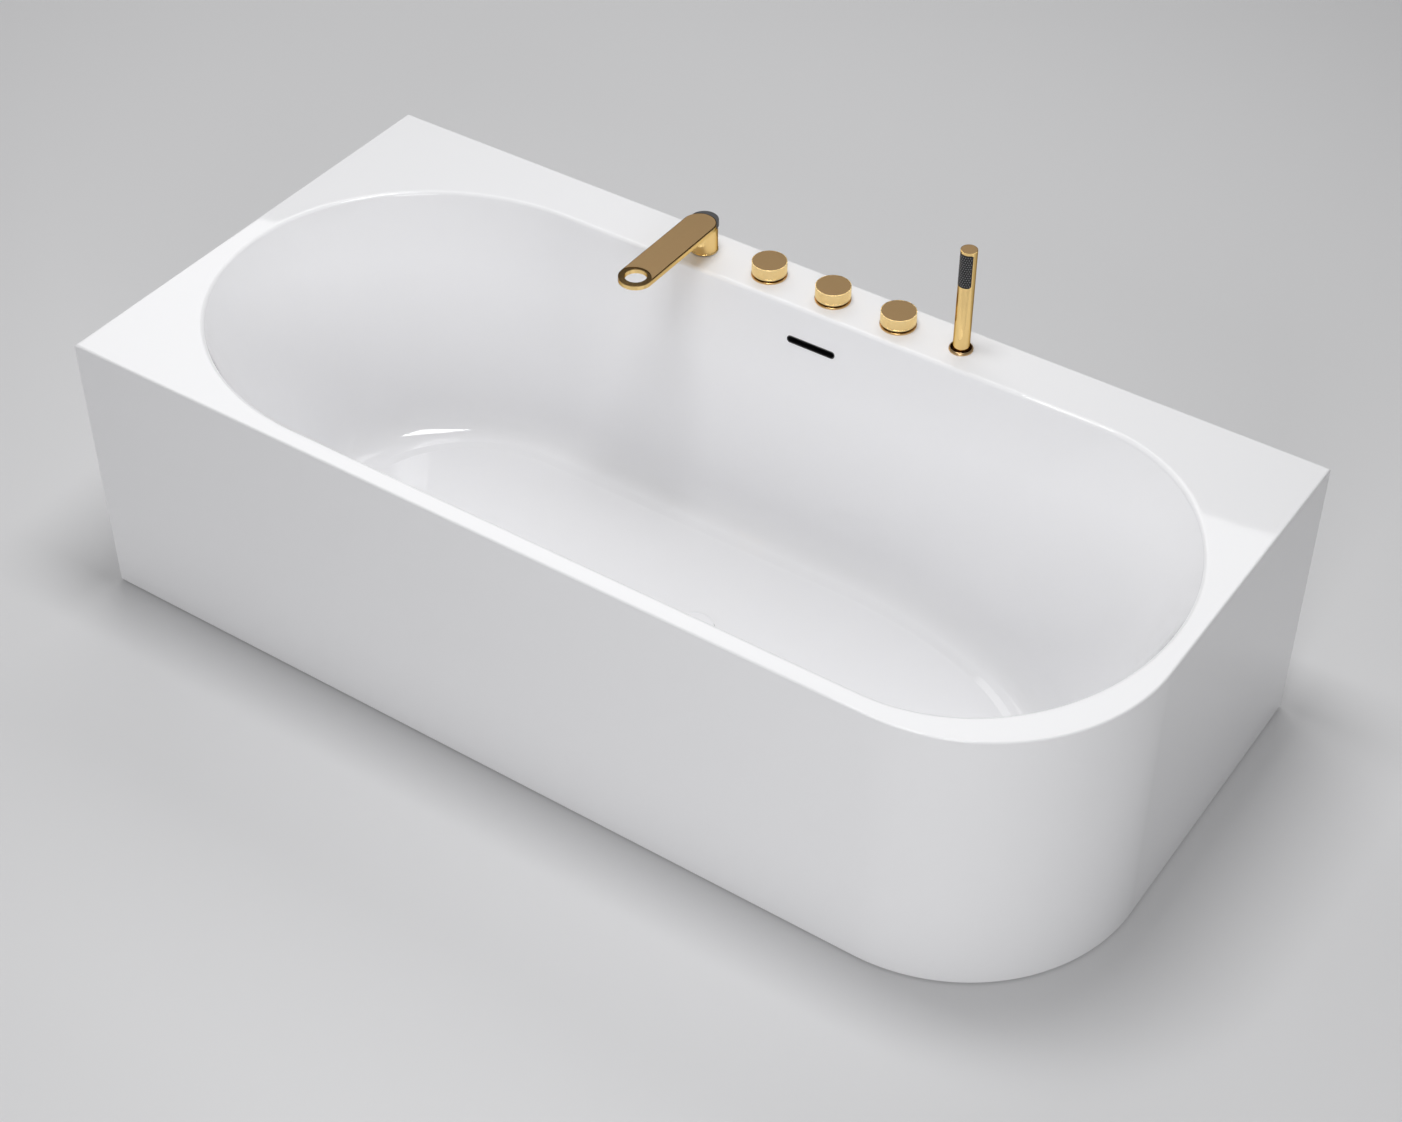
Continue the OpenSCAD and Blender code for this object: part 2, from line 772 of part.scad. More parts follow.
module overflow_pipe() color("gainsboro") difference() {
    union() {
        translate([fit_x, overflow_y, 0])
            drill(overflow_r, drain_z + bend_r, slot_z + head_pipe_in - head_branch);
        translate([fit_x, overflow_y - bend_r, drain_z + bend_r]) rotate([90, 0, 90])
            rotate([0, 0, -90]) rotate_extrude(angle = 90) translate([bend_r, 0]) circle(overflow_r);
        drain_along_y(fit_x, waste_y)
            drill(overflow_r, waste_body_r, overflow_y - bend_r - waste_y);
    }
    translate([fit_x, overflow_y, 0]) drill(overflow_r - pipe_wall, drain_z + bend_r, slot_z);
    translate([fit_x, overflow_y - bend_r, drain_z + bend_r]) rotate([90, 0, 90])
        rotate([0, 0, -90]) rotate_extrude(angle = 90) translate([bend_r, 0])
            circle(overflow_r - pipe_wall);
    drain_along_y(fit_x, waste_y)
        drill(overflow_r - pipe_wall, waste_body_r - 1, overflow_y - bend_r - waste_y);
}

module spout_column() color("goldenrod") at_deck(spout_x) difference() {
    union() {
        drill(column_r, column_low, column_top);
        drill(column_r + 0.8, column_low, column_low + 2);
    }
    drill(hub_r + turning_fit, pocket_low, column_top + 1);
    drill(hub_bore, shank_in - 1, pocket_low + 1);
    drill(shank_r + fixed_fit, column_low - 1, shank_in);
}

module spout_gasket() color("dimgray") at_deck(spout_x)
    tube(column_r - 1, shank_r + hole_clear, 0, column_low);

module spout_shank() color("goldenrod") at_deck(spout_x) {
    tube(shank_r, shank_bore, tail_len - shank_low, shank_in - turning_fit);
    tube(tail_r, shank_bore, -shank_low, tail_len - shank_low);
}

module spout_washer() color("dimgray") at_deck(spout_x)
    tube(20, shank_r + fixed_fit, -deck_thick - washer_t, -deck_thick);

module spout_nut() color("goldenrod") at_deck(spout_x)
    hex_nut(30, shank_r + fixed_fit, -deck_thick - washer_t - nut_t, -deck_thick - washer_t);

// Two seal rings in the grooves of the turning hub
module spout_seals() color("black") at_deck(spout_x) for (z = seal_at)
    rotate_extrude() translate([hub_r - seal_w / 2, z]) circle(seal_w / 2 - fixed_fit);

// Bar with round ends, edges broken, from the round back end to the ring
module spout_bar(grow, z0, z1, edge) {
    r = spout_r + grow;
    back = -spout_set;
    tip = -spout_reach;
    section = [[0, z0], [r - edge, z0], [r, z0 + edge], [r, z1 - edge], [r - edge, z1], [0, z1]];
    for (y = [back, tip]) translate([0, y, 0]) rotate_extrude() polygon(section);
    translate([0, back, 0]) rotate([90, 0, 0]) linear_extrude(back - tip)
        polygon([[-r + edge, z0], [r - edge, z0], [r, z0 + edge], [r, z1 - edge],
            [r - edge, z1], [-r + edge, z1], [-r, z1 - edge], [-r, z0 + edge]]);
}

module spout_body() color("goldenrod") at_deck(spout_x) difference() {
    union() {
        spout_bar(0, spout_low, body_top, 0.8);
        drill(hub_r, hub_low, spout_low + 1);
    }
    translate([0, -spout_reach, 0]) drill(ring_hole_d / 2, spout_low - 1, body_top + 1);
    drill(hub_bore, hub_low - 1, spout_low + channel_floor + channel_h);
    translate([-channel_w / 2, 4 - spout_reach, spout_low + channel_floor])
        cube([channel_w, spout_reach - 4, channel_h]);
    for (z = seal_at) rotate_extrude() translate([hub_r - seal_w / 2, z])
        square([seal_w + 1, seal_w], center = true);
}

// Dull inlay on the bar, with a hollow end round the ring
module spout_top_plate() color("darkgoldenrod") at_deck(spout_x) difference() {
    intersection() {
        spout_bar(-plate_in, body_top, spout_top, 0.2);
        translate([-spout_r, -spout_reach, body_top - 1])
            cube([spout_width, spout_reach + spout_r, top_plate_t + 3]);
    }
    translate([0, -spout_reach - plate_arc_at, 0]) drill(plate_arc_r, body_top - 1, spout_top + 1);
}

// Dark disc under the bar, whose edge shows behind the round back end
module spout_swivel_cap() color("dimgray") at_deck(spout_x) difference() {
    tube(column_r + cap_over, hub_r + fixed_fit, column_top + swivel_gap, spout_top - cap_set);
    translate([0, -spout_set, 0]) drill(spout_r + fixed_fit, spout_low, spout_top);
    translate([-spout_r, -column_d, spout_low])
        cube([spout_width, column_d - spout_set, spout_thick]);
}

// Knob with fine upright grooves round its grip
module knob(x) at_deck(x) difference() {
    union() {
        rotate_extrude() polygon([[0, knob_low], [knob_r - knob_soft, knob_low],
            [knob_r, knob_low + knob_soft], [knob_r, knob_low + knob_lip],
            [knob_core_r, knob_low + knob_lip], [knob_core_r, knob_top - knob_lip],
            [knob_r, knob_top - knob_lip], [knob_r, knob_top - knob_soft],
            [knob_r - knob_soft, knob_top], [0, knob_top]]);
        translate([0, 0, knob_low + knob_lip / 2]) linear_extrude(knob_top - knob_low - knob_lip)
            polygon([for (i = [0 : 2 * knob_grooves - 1])
                let (r = grip_r - (i % 2) * groove_depth, a = 180 * i / knob_grooves)
                [r * cos(a), r * sin(a)]]);
    }
    drill(neck_r + 4, knob_low - 1, knob_low + knob_pocket);
    drill(stem_r + turning_fit, knob_low, knob_top - stem_in);
    drill(knob_r - knob_edge, knob_top - cap_t, knob_top + 1);
}

module knob_cap(x) at_deck(x)
    drill(knob_r - knob_edge - fixed_fit, knob_top - cap_t, knob_top);

// Stem with a disc whose hole lines up with the seat when the tap is open
module spindle(x, turn) at_deck(x) difference() {
    union() {
        drill(stem_r, disc_gap - seat_top, knob_top - stem_in - disc_gap);
        drill(valve_room_r - hole_clear, disc_gap - seat_top, disc_t - seat_top);
    }
    rotate(turn) translate([disc_port_at, 0, 0])
        drill(disc_port_r, -seat_top - 1, disc_t + 1 - seat_top);
}

// Valve under the deck: threaded neck, flange, room, seat and side ports
module valve(x, turns) at_deck(x) difference() {
    union() {
        drill(neck_r, -deck_thick - washer_t - 1, neck_top);
        drill(valve_flange_r, -deck_thick - washer_t - 4, -deck_thick - washer_t);
        drill(valve_r, -valve_low, -deck_thick - washer_t);
        drill(thread_r, -valve_low - inlet_len, -valve_low + 1);
        for (a = turns) translate([0, 0, side_port_z]) rotate([0, 90, a]) {
            drill(side_boss_r, 0, side_boss_at);
            drill(thread_r, 0, side_boss_at + side_port_len);
        }
    }
    drill(stem_r + turning_fit, -room_top - 1, neck_top + 1);
    drill(valve_room_r, -seat_top, -room_top);
    translate([disc_port_at, 0, 0]) drill(disc_port_r, -seat_low - 1, -seat_top + 1);
    drill(port_r + 3, -seat_low - 2, -seat_low);
    drill(port_r, -valve_low - inlet_len - 1, -seat_low - 1);
    for (a = turns) translate([0, 0, side_port_z]) rotate([0, 90, a])
        drill(side_port_bore, valve_room_r - 3, side_boss_at + side_port_len + 1);
}

module hot_knob() color("gold") knob(hot_x);
module hot_knob_top() color("darkgoldenrod") knob_cap(hot_x);
module hot_spindle() color("silver") spindle(hot_x, -tap_turn);
module cold_knob() color("gold") knob(cold_x);
module cold_knob_top() color("darkgoldenrod") knob_cap(cold_x);
module cold_spindle() color("silver") spindle(cold_x, tap_turn);
module diverter_knob() color("gold") knob(fit_x);
module diverter_knob_top() color("darkgoldenrod") knob_cap(fit_x);
module diverter_spindle() color("silver") spindle(fit_x, 0);
module hot_valve_body() color("darkkhaki") valve(hot_x, [-side_port_turn]);
module cold_valve_body() color("darkkhaki") valve(cold_x, [180 + side_port_turn]);
module diverter_body() color("darkkhaki")
    valve(fit_x, [side_port_turn, 180 - side_port_turn]);

module knob_base_rings() color("goldenrod") for (x = [hot_x, fit_x, cold_x]) at_deck(x)
    difference() {
        union() {
            drill(knob_r + base_ring_out, 0, base_ring_h - base_ring_step);
            drill(knob_r + base_ring_out - base_ring_step, 0, base_ring_h);
        }
        drill(neck_r + fixed_fit, -1, base_ring_h + 1);
    }

module tap_washers() color("dimgray") for (x = [hot_x, fit_x, cold_x]) at_deck(x)
    tube(valve_flange_r, neck_r + fixed_fit, -deck_thick - washer_t, -deck_thick);

// Flange with a dished seat and a sleeve through the deck
module shower_socket() color("goldenrod") at_deck(shower_x) difference() {
    union() {
        rotate_extrude() polygon([[0, 0], [socket_d / 2, 0], [socket_d / 2, 1.6],
            [socket_d / 2 - 1, flange_t - 1.2], [stick_r + 4, flange_t], [0, flange_t]]);
        drill(sleeve_r, -sleeve_low, seat_z);
    }
    drill(sleeve_bore, -sleeve_low - 1, flange_t + 1);
    translate([0, 0, seat_z])
        cylinder(r1 = stick_r + 0.3, r2 = stick_r + seat_flare, h = flange_t - seat_z + join);
}

module socket_washer() color("dimgray") at_deck(shower_x)
    tube(20, sleeve_r + fixed_fit, -deck_thick - washer_t, -deck_thick);

module socket_nut() color("goldenrod") at_deck(shower_x)
    hex_nut(34, sleeve_r + fixed_fit, -deck_thick - washer_t - nut_t, -deck_thick - washer_t);

// Outline of the spray panel, seen from the basin
module panel_shape(grow) {
    w = 2 * stick_r * sin(panel_angle / 2) + 2 * grow;
    h = panel_height + 2 * grow;
    c = panel_corner;
    translate([0, (panel_z0 + panel_z1) / 2]) {
        square([w - 2 * c, h], center = true);
        square([w, h - 2 * c], center = true);
        for (a = [-1, 1], b = [-1, 1])
            translate([a * (w / 2 - c), b * (h / 2 - c)]) circle(c, $fn = 48);
    }
}
module panel_block(grow) {
    intersection() {
        rotate([90, 0, 0]) linear_extrude(stick_r + 2) panel_shape(grow);
        tube(stick_r + panel_proud + grow, stick_r - panel_depth - grow, panel_z0 - 1, panel_z1 + 1);
    }
}

module shower_handle() color("gold") at_deck(shower_x) difference() {
    union() {
        rotate_extrude() polygon([[0, seat_z], [stick_r - 1.4, seat_z], [stick_r - 0.4, seat_z + 0.6],
            [stick_r, seat_z + 2], [stick_r, stick_top - 0.4], [stick_r - 0.4, stick_top], [0, stick_top]]);
        drill(thread_r, -tail_in, seat_z + 1);
    }
    panel_block(fixed_fit);
    drill(port_r, -tail_in - 1, panel_z1 - 4);
    drill(stick_r - cap_ring, stick_top - cap_t, stick_top + 1);
    translate([-4, -stick_r + 1, panel_z0 + 5]) cube([8, stick_r - 2, panel_height - 10]);
}

module shower_top_disc() color("darkgoldenrod") at_deck(shower_x)
    drill(stick_r - cap_ring - fixed_fit, stick_top - cap_t, stick_top);

// Rows of rubber jets in a diamond pattern
module spray_panel() color("black") at_deck(shower_x) {
    panel_block(0);
    for (row = [0 : jet_rows - 1], k = [-3 : 3 - row % 2])
        translate([0, 0, panel_z0 + 3.6 + row * (panel_height - 7.2) / (jet_rows - 1)])
            rotate([90, 0, (k + (row % 2) / 2) * jet_step])
                drill(jet_r, stick_r - 0.6, stick_r + panel_proud + jet_proud);
}

// Ribbed insert that breaks the stream in the spout's mouth
module flow_insert() color("black") at_deck(spout_x)
    translate([0, -spout_reach, spout_low + channel_floor + channel_h / 2]) difference() {
        translate([-channel_w / 2 + fixed_fit, ring_hole_d / 2 + 0.6, -channel_h / 2 + fixed_fit])
            cube([channel_w - 2 * fixed_fit, 5, channel_h - 2 * fixed_fit]);
        for (i = [-4 : 4]) translate([i * 2.5 - 0.7, 0, -0.9]) cube([1.4, 40, 1.8]);
    }

bath_shell();
skirt();
skirt_spacers();
floor_board();
cross_bars();
front_rail();
rear_posts();
rear_rails();
post_pads();
foot_pads();
foot_studs();
foot_nuts();
wall_brackets();
waste_flange();
waste_plug();
plug_seal();
waste_seals();
waste_body();
waste_link();
trap_body();
trap_lid();
outlet_pipe();
overflow_trim();
overflow_gasket();
overflow_head();
overflow_pipe();
spout_column();
spout_gasket();
spout_shank();
spout_washer();
spout_nut();
spout_seals();
spout_body();
spout_top_plate();
spout_swivel_cap();
hot_knob();
hot_knob_top();
hot_spindle();
cold_knob();
cold_knob_top();
cold_spindle();
diverter_knob();
diverter_knob_top();
diverter_spindle();
knob_base_rings();
tap_washers();
hot_valve_body();
cold_valve_body();
diverter_body();
shower_socket();
socket_washer();
socket_nut();
shower_handle();
shower_top_disc();
spray_panel();
flow_insert();
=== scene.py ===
"""Dresses the back-to-wall bathtub: acrylic, gold fittings, frame, drain and a pale stage."""
import math
from collections import namedtuple
from functools import cache

import bmesh
import bpy
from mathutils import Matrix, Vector


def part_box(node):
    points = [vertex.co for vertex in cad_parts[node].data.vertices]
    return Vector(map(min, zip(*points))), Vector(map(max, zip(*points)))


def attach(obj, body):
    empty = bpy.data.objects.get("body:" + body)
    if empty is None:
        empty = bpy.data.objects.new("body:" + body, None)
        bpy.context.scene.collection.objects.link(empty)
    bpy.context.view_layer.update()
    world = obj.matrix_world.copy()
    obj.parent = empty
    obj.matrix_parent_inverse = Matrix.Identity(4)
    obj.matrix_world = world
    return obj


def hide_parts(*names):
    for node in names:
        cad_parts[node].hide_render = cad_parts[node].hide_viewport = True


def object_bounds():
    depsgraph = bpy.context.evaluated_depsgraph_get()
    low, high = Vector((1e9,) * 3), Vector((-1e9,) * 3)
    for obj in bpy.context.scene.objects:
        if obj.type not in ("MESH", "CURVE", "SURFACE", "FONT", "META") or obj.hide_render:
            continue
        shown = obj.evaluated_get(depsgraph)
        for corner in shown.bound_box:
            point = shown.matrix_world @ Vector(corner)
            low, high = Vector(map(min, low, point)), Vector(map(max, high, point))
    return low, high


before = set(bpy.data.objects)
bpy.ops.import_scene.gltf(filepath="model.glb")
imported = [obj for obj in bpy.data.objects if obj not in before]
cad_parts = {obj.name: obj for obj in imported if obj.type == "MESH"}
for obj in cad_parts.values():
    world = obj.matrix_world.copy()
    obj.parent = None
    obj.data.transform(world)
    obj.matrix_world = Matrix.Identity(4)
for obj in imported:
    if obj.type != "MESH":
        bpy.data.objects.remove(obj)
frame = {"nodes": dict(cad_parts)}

bl_info = {
    "name": "Back-to-wall bathtub",
    "version": (1, 0, 0),
    "blender": (4, 5, 0),
    "location": "3D View > Sidebar > Bathtub",
    "description": "Builds a white acrylic bath with gold fittings over its packed frame",
    "category": "Add Mesh",
}

CAD_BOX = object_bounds()
MM = 0.001
TINY = 1e-6
BAR_GAP = 3 * MM
WASTE_HOLE = 25.5 * MM
KNOBS = (("hot_tap", "hot_knob"), ("cold_tap", "cold_knob"), ("diverter", "diverter_knob"))
DECK_HOLES = {"hot_knob": 14.5, "diverter_knob": 14.5, "cold_knob": 14.5,
              "spout_column": 10.5, "shower_handle": 13.1}


def length(name, text, millimetres):
    """A size in metres that the sidebar shows with its unit."""
    return number(name, text, millimetres * MM, unit="LENGTH", precision=4)


def colour(name, piece, *value):
    """The colour of a piece, which the sidebar shows as a swatch."""
    return bpy.props.FloatVectorProperty(
        name=name, description="Colour of the " + piece, default=value, subtype="COLOR",
        size=3, min=0, max=1)


def number(name, text, value, **kind):
    """A number with the unit, subtype or limits that it is given."""
    return bpy.props.FloatProperty(name=name, description=text, default=value, **kind)


def amount(name, text, value):
    """A plain number between nought and one."""
    return number(name, text, value, min=0, max=1)


class BathSizes(bpy.types.PropertyGroup):
    """Sizes of the acrylic shell and its skirt."""
    corner: length("Round corner", "Radius of the upright corner at the front right", 290)
    edge: length("Outer edge", "Radius of the outer top edge", 3)
    deck: length("Deck thickness", "Thickness of the acrylic deck", 6)
    wall: length("Basin wall", "Wall thickness of the basin", 6)
    rim_front: length("Front rim", "Width of the rim at the front", 31)
    rim_left: length("Left rim", "Width of the rim at the left end", 36)
    rim_right: length("Right rim", "Width of the rim at the right end", 29)
    rim_back: length("Deck depth", "Depth of the deck behind the basin", 100)
    depth: length("Basin depth", "Depth from the rim to the edge of the floor", 402)
    floor_drop: length("Floor drop", "Drop of the floor inside its edge step", 3)
    floor_step: length("Floor step", "Width of the sloped step round the floor", 14)
    side_lean: length("Side lean", "How far the long walls lean in", 84)
    left_lean: length("Left lean", "How far the left end leans in", 138)
    right_lean: length("Right lean", "How far the right end leans in", 166)
    left_end: length("Left end", "Half length of the left end at the rim", 375)
    right_end: length("Right end", "Half length of the right end at the rim", 284)
    left_floor: length("Left floor end", "Half length of the left end at the floor", 286)
    right_floor: length("Right floor end", "Half length of the right end at the floor", 479)
    cove: length("Cove height", "Height of the curve between wall and floor", 52)
    cove_side: length("Cove at the sides", "Reach of that curve at the long walls", 38)
    cove_end: length("Cove at the ends", "Reach of that curve at the ends", 46)
    lip: length("Inner lip", "Radius of the soft edge between deck and basin", 7)
    crease: length("Crease", "Softness of the edges of the floor step", 1.2)
    skirt_wall: length("Skirt wall", "Thickness of the skirt", 6)
    skirt_return: length("Skirt return", "Width of the strips at the back", 28)
    skirt_flange: length("Skirt flange", "Width of the bond flange and the hem", 18)


class FittingSizes(bpy.types.PropertyGroup):
    """Sizes of the taps, the spout, the hand shower and the overflow."""
    knob_groove: length("Grip groove", "Depth of the fine grooves round a knob", 0.35)
    knob_edge: length("Knob edge", "Width of the gold ring round a knob's inlay", 1.2)
    knob_rim: length("Knob rim", "Height of the plain rims above and below the grooves", 1.8)
    inlay: length("Inlay edge", "Softness of the inlays' edges", 0.25)
    soft: length("Soft edge", "Softness of the knobs' edges", 0.5)
    ring_hole: length("Ring hole", "Diameter of the hole in the spout's ring", 35.5)
    spout_reach: length("Spout reach", "Distance from the column to the ring", 187)
    spout_set: length("Spout set", "Distance of the bar's back end from the column", 14)
    plate_in: length("Inlay margin", "Gold edge left round the bar's inlay", 1.5)
    # The frame's dark colour is a painted dark reflection.
    frame_high: length("Inlay frame", "Height of the darkened frame on top of the bar", 1.1)
    undercut: length("Grip undercut", "Depth and height of the shadow gap under a knob", 2.0)
    arc: length("Inlay arc", "Radius of the hollow end of the bar's inlay", 29.5)
    arc_at: length("Arc centre", "Distance of that arc's centre in front of the ring", 8.5)
    stick: length("Hand shower", "Diameter of the hand shower", 26)
    slot: length("Overflow length", "Length of the overflow slot", 86)
    slot_high: length("Overflow height", "Height of the overflow slot", 10.5)
    slot_drop: length("Overflow drop", "Distance of the slot below the rim", 55)


class Finishes(bpy.types.PropertyGroup):
    """Colours and sheen of the visible pieces."""
    white: colour("Acrylic", "acrylic", 0.90, 0.90, 0.915)
    gold: colour("Polished gold", "polished fittings", 0.90, 0.64, 0.27)
    ring: colour("Ring gold", "base rings under the knobs", 0.70, 0.46, 0.20)
    grip: colour("Grip gold", "knobs' grips", 0.94, 0.70, 0.33)
    # The socket ring's gold is darker than the polished gold: a painted dark reflection.
    socket: colour("Socket gold painted dark reflection", "ring on the deck", 0.62, 0.42, 0.22)
    # The dish is near black: a painted dark reflection in the hollow round the stick.
    dish: colour("Dish gold painted dark reflection", "hand shower's dish", 0.09, 0.05, 0.018)
    # The frame's gold is far darker than the polished gold: a painted dark reflection on the
    # bar's top.
    frame: colour("Frame gold painted dark reflection", "frame of the spout's inlay", 0.24, 0.15, 0.055)
    edge: colour("Gold edge", "polished gold seen at a slant", 0.30, 0.18, 0.07)
    dull: colour("Dull gold", "dull inlays", 0.325, 0.215, 0.104)
    # The jets' tips are grey on the black rubber: painted highlights.
    jets: colour("Jet tips painted highlight", "rubber jets' tips", 0.20, 0.20, 0.205)
    black: colour("Black rubber", "jet panel", 0.003, 0.003, 0.0034)
    disc: colour("Swivel disc", "disc under the bar", 0.045, 0.045, 0.048)
    steel: colour("Steel", "frame tubes", 0.50, 0.51, 0.52)
    board: colour("Board", "particle board", 0.46, 0.31, 0.17)
    pipe: colour("Drain plastic", "drain pipes", 0.52, 0.52, 0.51)
    dark: colour("Dark plastic", "overflow trim", 0.014, 0.014, 0.015)
    rubber: colour("Plain rubber", "pads and seals", 0.022, 0.022, 0.023)
    brass: colour("Raw brass", "hidden valve bodies", 0.62, 0.46, 0.20)
    chrome: colour("Chrome", "waste flange", 0.78, 0.79, 0.80)
    gloss: amount("Acrylic roughness", "Roughness of the acrylic", 0.03)
    satin: amount("Inlay roughness", "Roughness of the dull inlays", 0.5)
    mirror: amount("Gold roughness", "Roughness of the polished gold", 0.07)


class StageSettings(bpy.types.PropertyGroup):
    """Camera, lamps and floor."""
    azimuth: number("Azimuth", "Angle of the camera round the bath",
                    math.radians(34.25), subtype="ANGLE")
    elevation: number("Elevation", "Angle of the camera above the floor",
                      math.radians(41.59), subtype="ANGLE")
    distance: length("Distance", "Distance from the camera to its target", 4202.97)
    target: bpy.props.FloatVectorProperty(
        name="Target", description="Point in the middle of the picture",
        default=(-0.0885, 0.1743, 0.0), subtype="TRANSLATION", size=3)
    lens: number("Lens", "Focal length in millimetres", 65.04)
    sensor: number("Sensor", "Width of the sensor in millimetres", 36)
    floor: colour("Floor", "floor", 0.75, 0.75, 0.76)
    floor_width: length("Floor width", "Width of the floor", 40000)
    sky: amount("Sky", "Strength of the even light from all round", 0.25)
    right_lamp: number("Right lamp", "Power of the lamp in front", 47, unit="POWER")
    back_lamp: number("Back lamp", "Power of the lamp behind", 38, unit="POWER")
    top_lamp: number("Top lamp", "Power of the lamp overhead", 42, unit="POWER")


# Places taken from the frame

def node_levels(node):
    """Bottom and top of a node of the frame."""
    return [corner.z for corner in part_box(node)]


def node_high(node):
    """Top of a node of the frame."""
    return node_levels(node)[1]


def round_node(node):
    """Upright middle axis, radius, bottom and top of a round node."""
    low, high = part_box(node)
    return ((low.x + high.x) / 2, (low.y + high.y) / 2), (high.x - low.x) / 2, low.z, high.z


def node_axis(node):
    """Place of the upright middle axis of a round node, seen from above."""
    return round_node(node)[0]


# Modelling by hand: select by place, then shape with the edit mode tools

def at_rest():
    """Leaves edit mode and deselects everything."""
    if bpy.context.mode != "OBJECT":
        bpy.ops.object.mode_set(mode="OBJECT")
    bpy.ops.object.select_all(action="DESELECT")


def take(piece):
    """Makes one piece the only one selected."""
    at_rest()
    piece.select_set(True)
    bpy.context.view_layer.objects.active = piece


def begin(name):
    """Names the primitive just added, sets its place into its mesh and opens it for editing."""
    piece = bpy.context.object
    piece.name = name
    piece.data.name = name
    bpy.ops.object.transform_apply(location=True, rotation=True, scale=True)
    bpy.ops.object.mode_set(mode="EDIT")
    bpy.ops.mesh.select_all(action="SELECT")
    return piece


def pick(kind, test):
    """Selects the vertices, edges or faces of the open mesh that pass a test."""
    bpy.ops.mesh.select_mode(type=kind)
    bpy.ops.mesh.select_all(action="DESELECT")
    mesh = bmesh.from_edit_mesh(bpy.context.object.data)
    for part in {"VERT": mesh.verts, "EDGE": mesh.edges, "FACE": mesh.faces}[kind]:
        if test(part):
            part.select_set(True)
    mesh.select_flush(True)
    bmesh.update_edit_mesh(bpy.context.object.data)


def middle(edge):
    """Middle point of an edge."""
    return (edge.verts[0].co + edge.verts[1].co) / 2


def close_normals():
    """Merges doubles and turns every face outwards."""
    bpy.ops.mesh.select_mode(type="VERT")
    bpy.ops.mesh.select_all(action="SELECT")
    bpy.ops.mesh.remove_doubles(threshold=TINY)
    bpy.ops.mesh.normals_make_consistent(inside=False)
    at_rest()


def applied(piece, kind, **settings):
    """Adds a modifier with its settings and applies it."""
    take(piece)
    modifier = piece.modifiers.new(kind, kind)
    for key, value in settings.items():
        setattr(modifier, key, value)
    bpy.ops.object.modifier_apply(modifier=modifier.name)


def soften(piece, width, steps):
    """Rounds the hard edges of a piece."""
    applied(piece, "BEVEL", width=width, segments=steps, limit_method="ANGLE",
            angle_limit=math.radians(35), use_clamp_overlap=True)


def combine(piece, other, operation="DIFFERENCE"):
    """Cuts one closed piece out of another, or unites them, and removes it."""
    applied(piece, "BOOLEAN", object=other, operation=operation, solver="EXACT")
    bpy.data.objects.remove(other)


def join(first, *others):
    """Makes several pieces one mesh."""
    take(first)
    for other in others:
        other.select_set(True)
    bpy.ops.object.join()
    return first


def near(radius, height, *steps):
    """Places of a profile, given in millimetres from one of its corners."""
    return [(radius + out * MM, height + up * MM) for out, up in steps]


def turned(name, axis, profile, segments=128, hollow=False):
    """Turns (radius, height) pairs round an upright axis; a hollow one closes on itself."""
    radius, height = profile[0]
    at_rest()
    bpy.ops.mesh.primitive_circle_add(
        vertices=segments, radius=radius, location=(*axis, height),
        fill_type="NOTHING" if hollow else "NGON")
    piece = begin(name)
    extrude = bpy.ops.mesh.extrude_edges_move if hollow else bpy.ops.mesh.extrude_region_move
    for wide, high in profile[1:] + (profile[:1] if hollow else []):
        extrude()
        bpy.ops.transform.translate(value=(0, 0, high - height))
        bpy.ops.transform.resize(
            value=(wide / radius, wide / radius, 1), center_override=(*axis, high))
        radius, height = wide, high
    close_normals()
    return piece


def drill(piece, axis, radius, low, high, segments=128):
    """Cuts a round hole from one level to another."""
    combine(piece, turned("drill", axis, [(radius, low), (radius, high)], segments))


def stadium(name, at, long, width, low, high, along=0, segments=64):
    """A bar with round ends: a disc whose halves are drawn apart, pulled up to a plate."""
    at_rest()
    bpy.ops.mesh.primitive_circle_add(
        vertices=segments, radius=width / 2 / math.cos(math.pi / segments),
        location=(*at, low), rotation=(0, 0, math.pi / segments), fill_type="NGON")
    piece = begin(name)
    for side in (-1, 1):
        pick("VERT", lambda v: side * (v.co[along] - at[along]) > 0)
        shift = [0, 0, 0]
        shift[along] = side * (long - width) / 2
        bpy.ops.transform.translate(value=shift)
    bpy.ops.mesh.select_mode(type="FACE")
    bpy.ops.mesh.select_all(action="SELECT")
    bpy.ops.mesh.extrude_region_move(TRANSFORM_OT_translate={"value": (0, 0, high - low)})
    close_normals()
    return piece


def block(name, low, high):
    """A box between two corners, open for editing."""
    at_rest()
    bpy.ops.mesh.primitive_cube_add(
        size=1, location=[(a + b) / 2 for a, b in zip(low, high)],
        scale=[b - a for a, b in zip(low, high)])
    return begin(name)


def round_corner(low, high, radius):
    """Rounds the upright edge at the front right of the open block."""
    pick("EDGE", lambda e: abs(middle(e).z - (low + high) / 2) < TINY and
         middle(e).x > 0 and middle(e).y < 0)
    bpy.ops.mesh.bevel(offset=radius, segments=72, affect="EDGES")


def place(piece, body, slot, name, *nodes, angle=40):
    """Smooths a finished piece, gives it its finish and body and hides the frame's nodes that
    it stands for; its slot is not used.
    """
    take(piece)
    bpy.ops.object.shade_smooth_by_angle(angle=math.radians(angle))
    applied(piece, "WEIGHTED_NORMAL", weight=100, keep_sharp=True)
    at_rest()
    piece.data.materials.clear()
    piece.data.materials.append(finish(name))
    if nodes:
        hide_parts(*nodes)
    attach(piece, body)


# Shader nodes and their groups

def feed(tree, target, inputs):
    """Fills a node's inputs with sockets or plain values."""
    for key, value in inputs.items():
        if isinstance(value, bpy.types.NodeSocket):
            tree.links.new(value, target.inputs[key])
        else:
            target.inputs[key].default_value = value
    return target


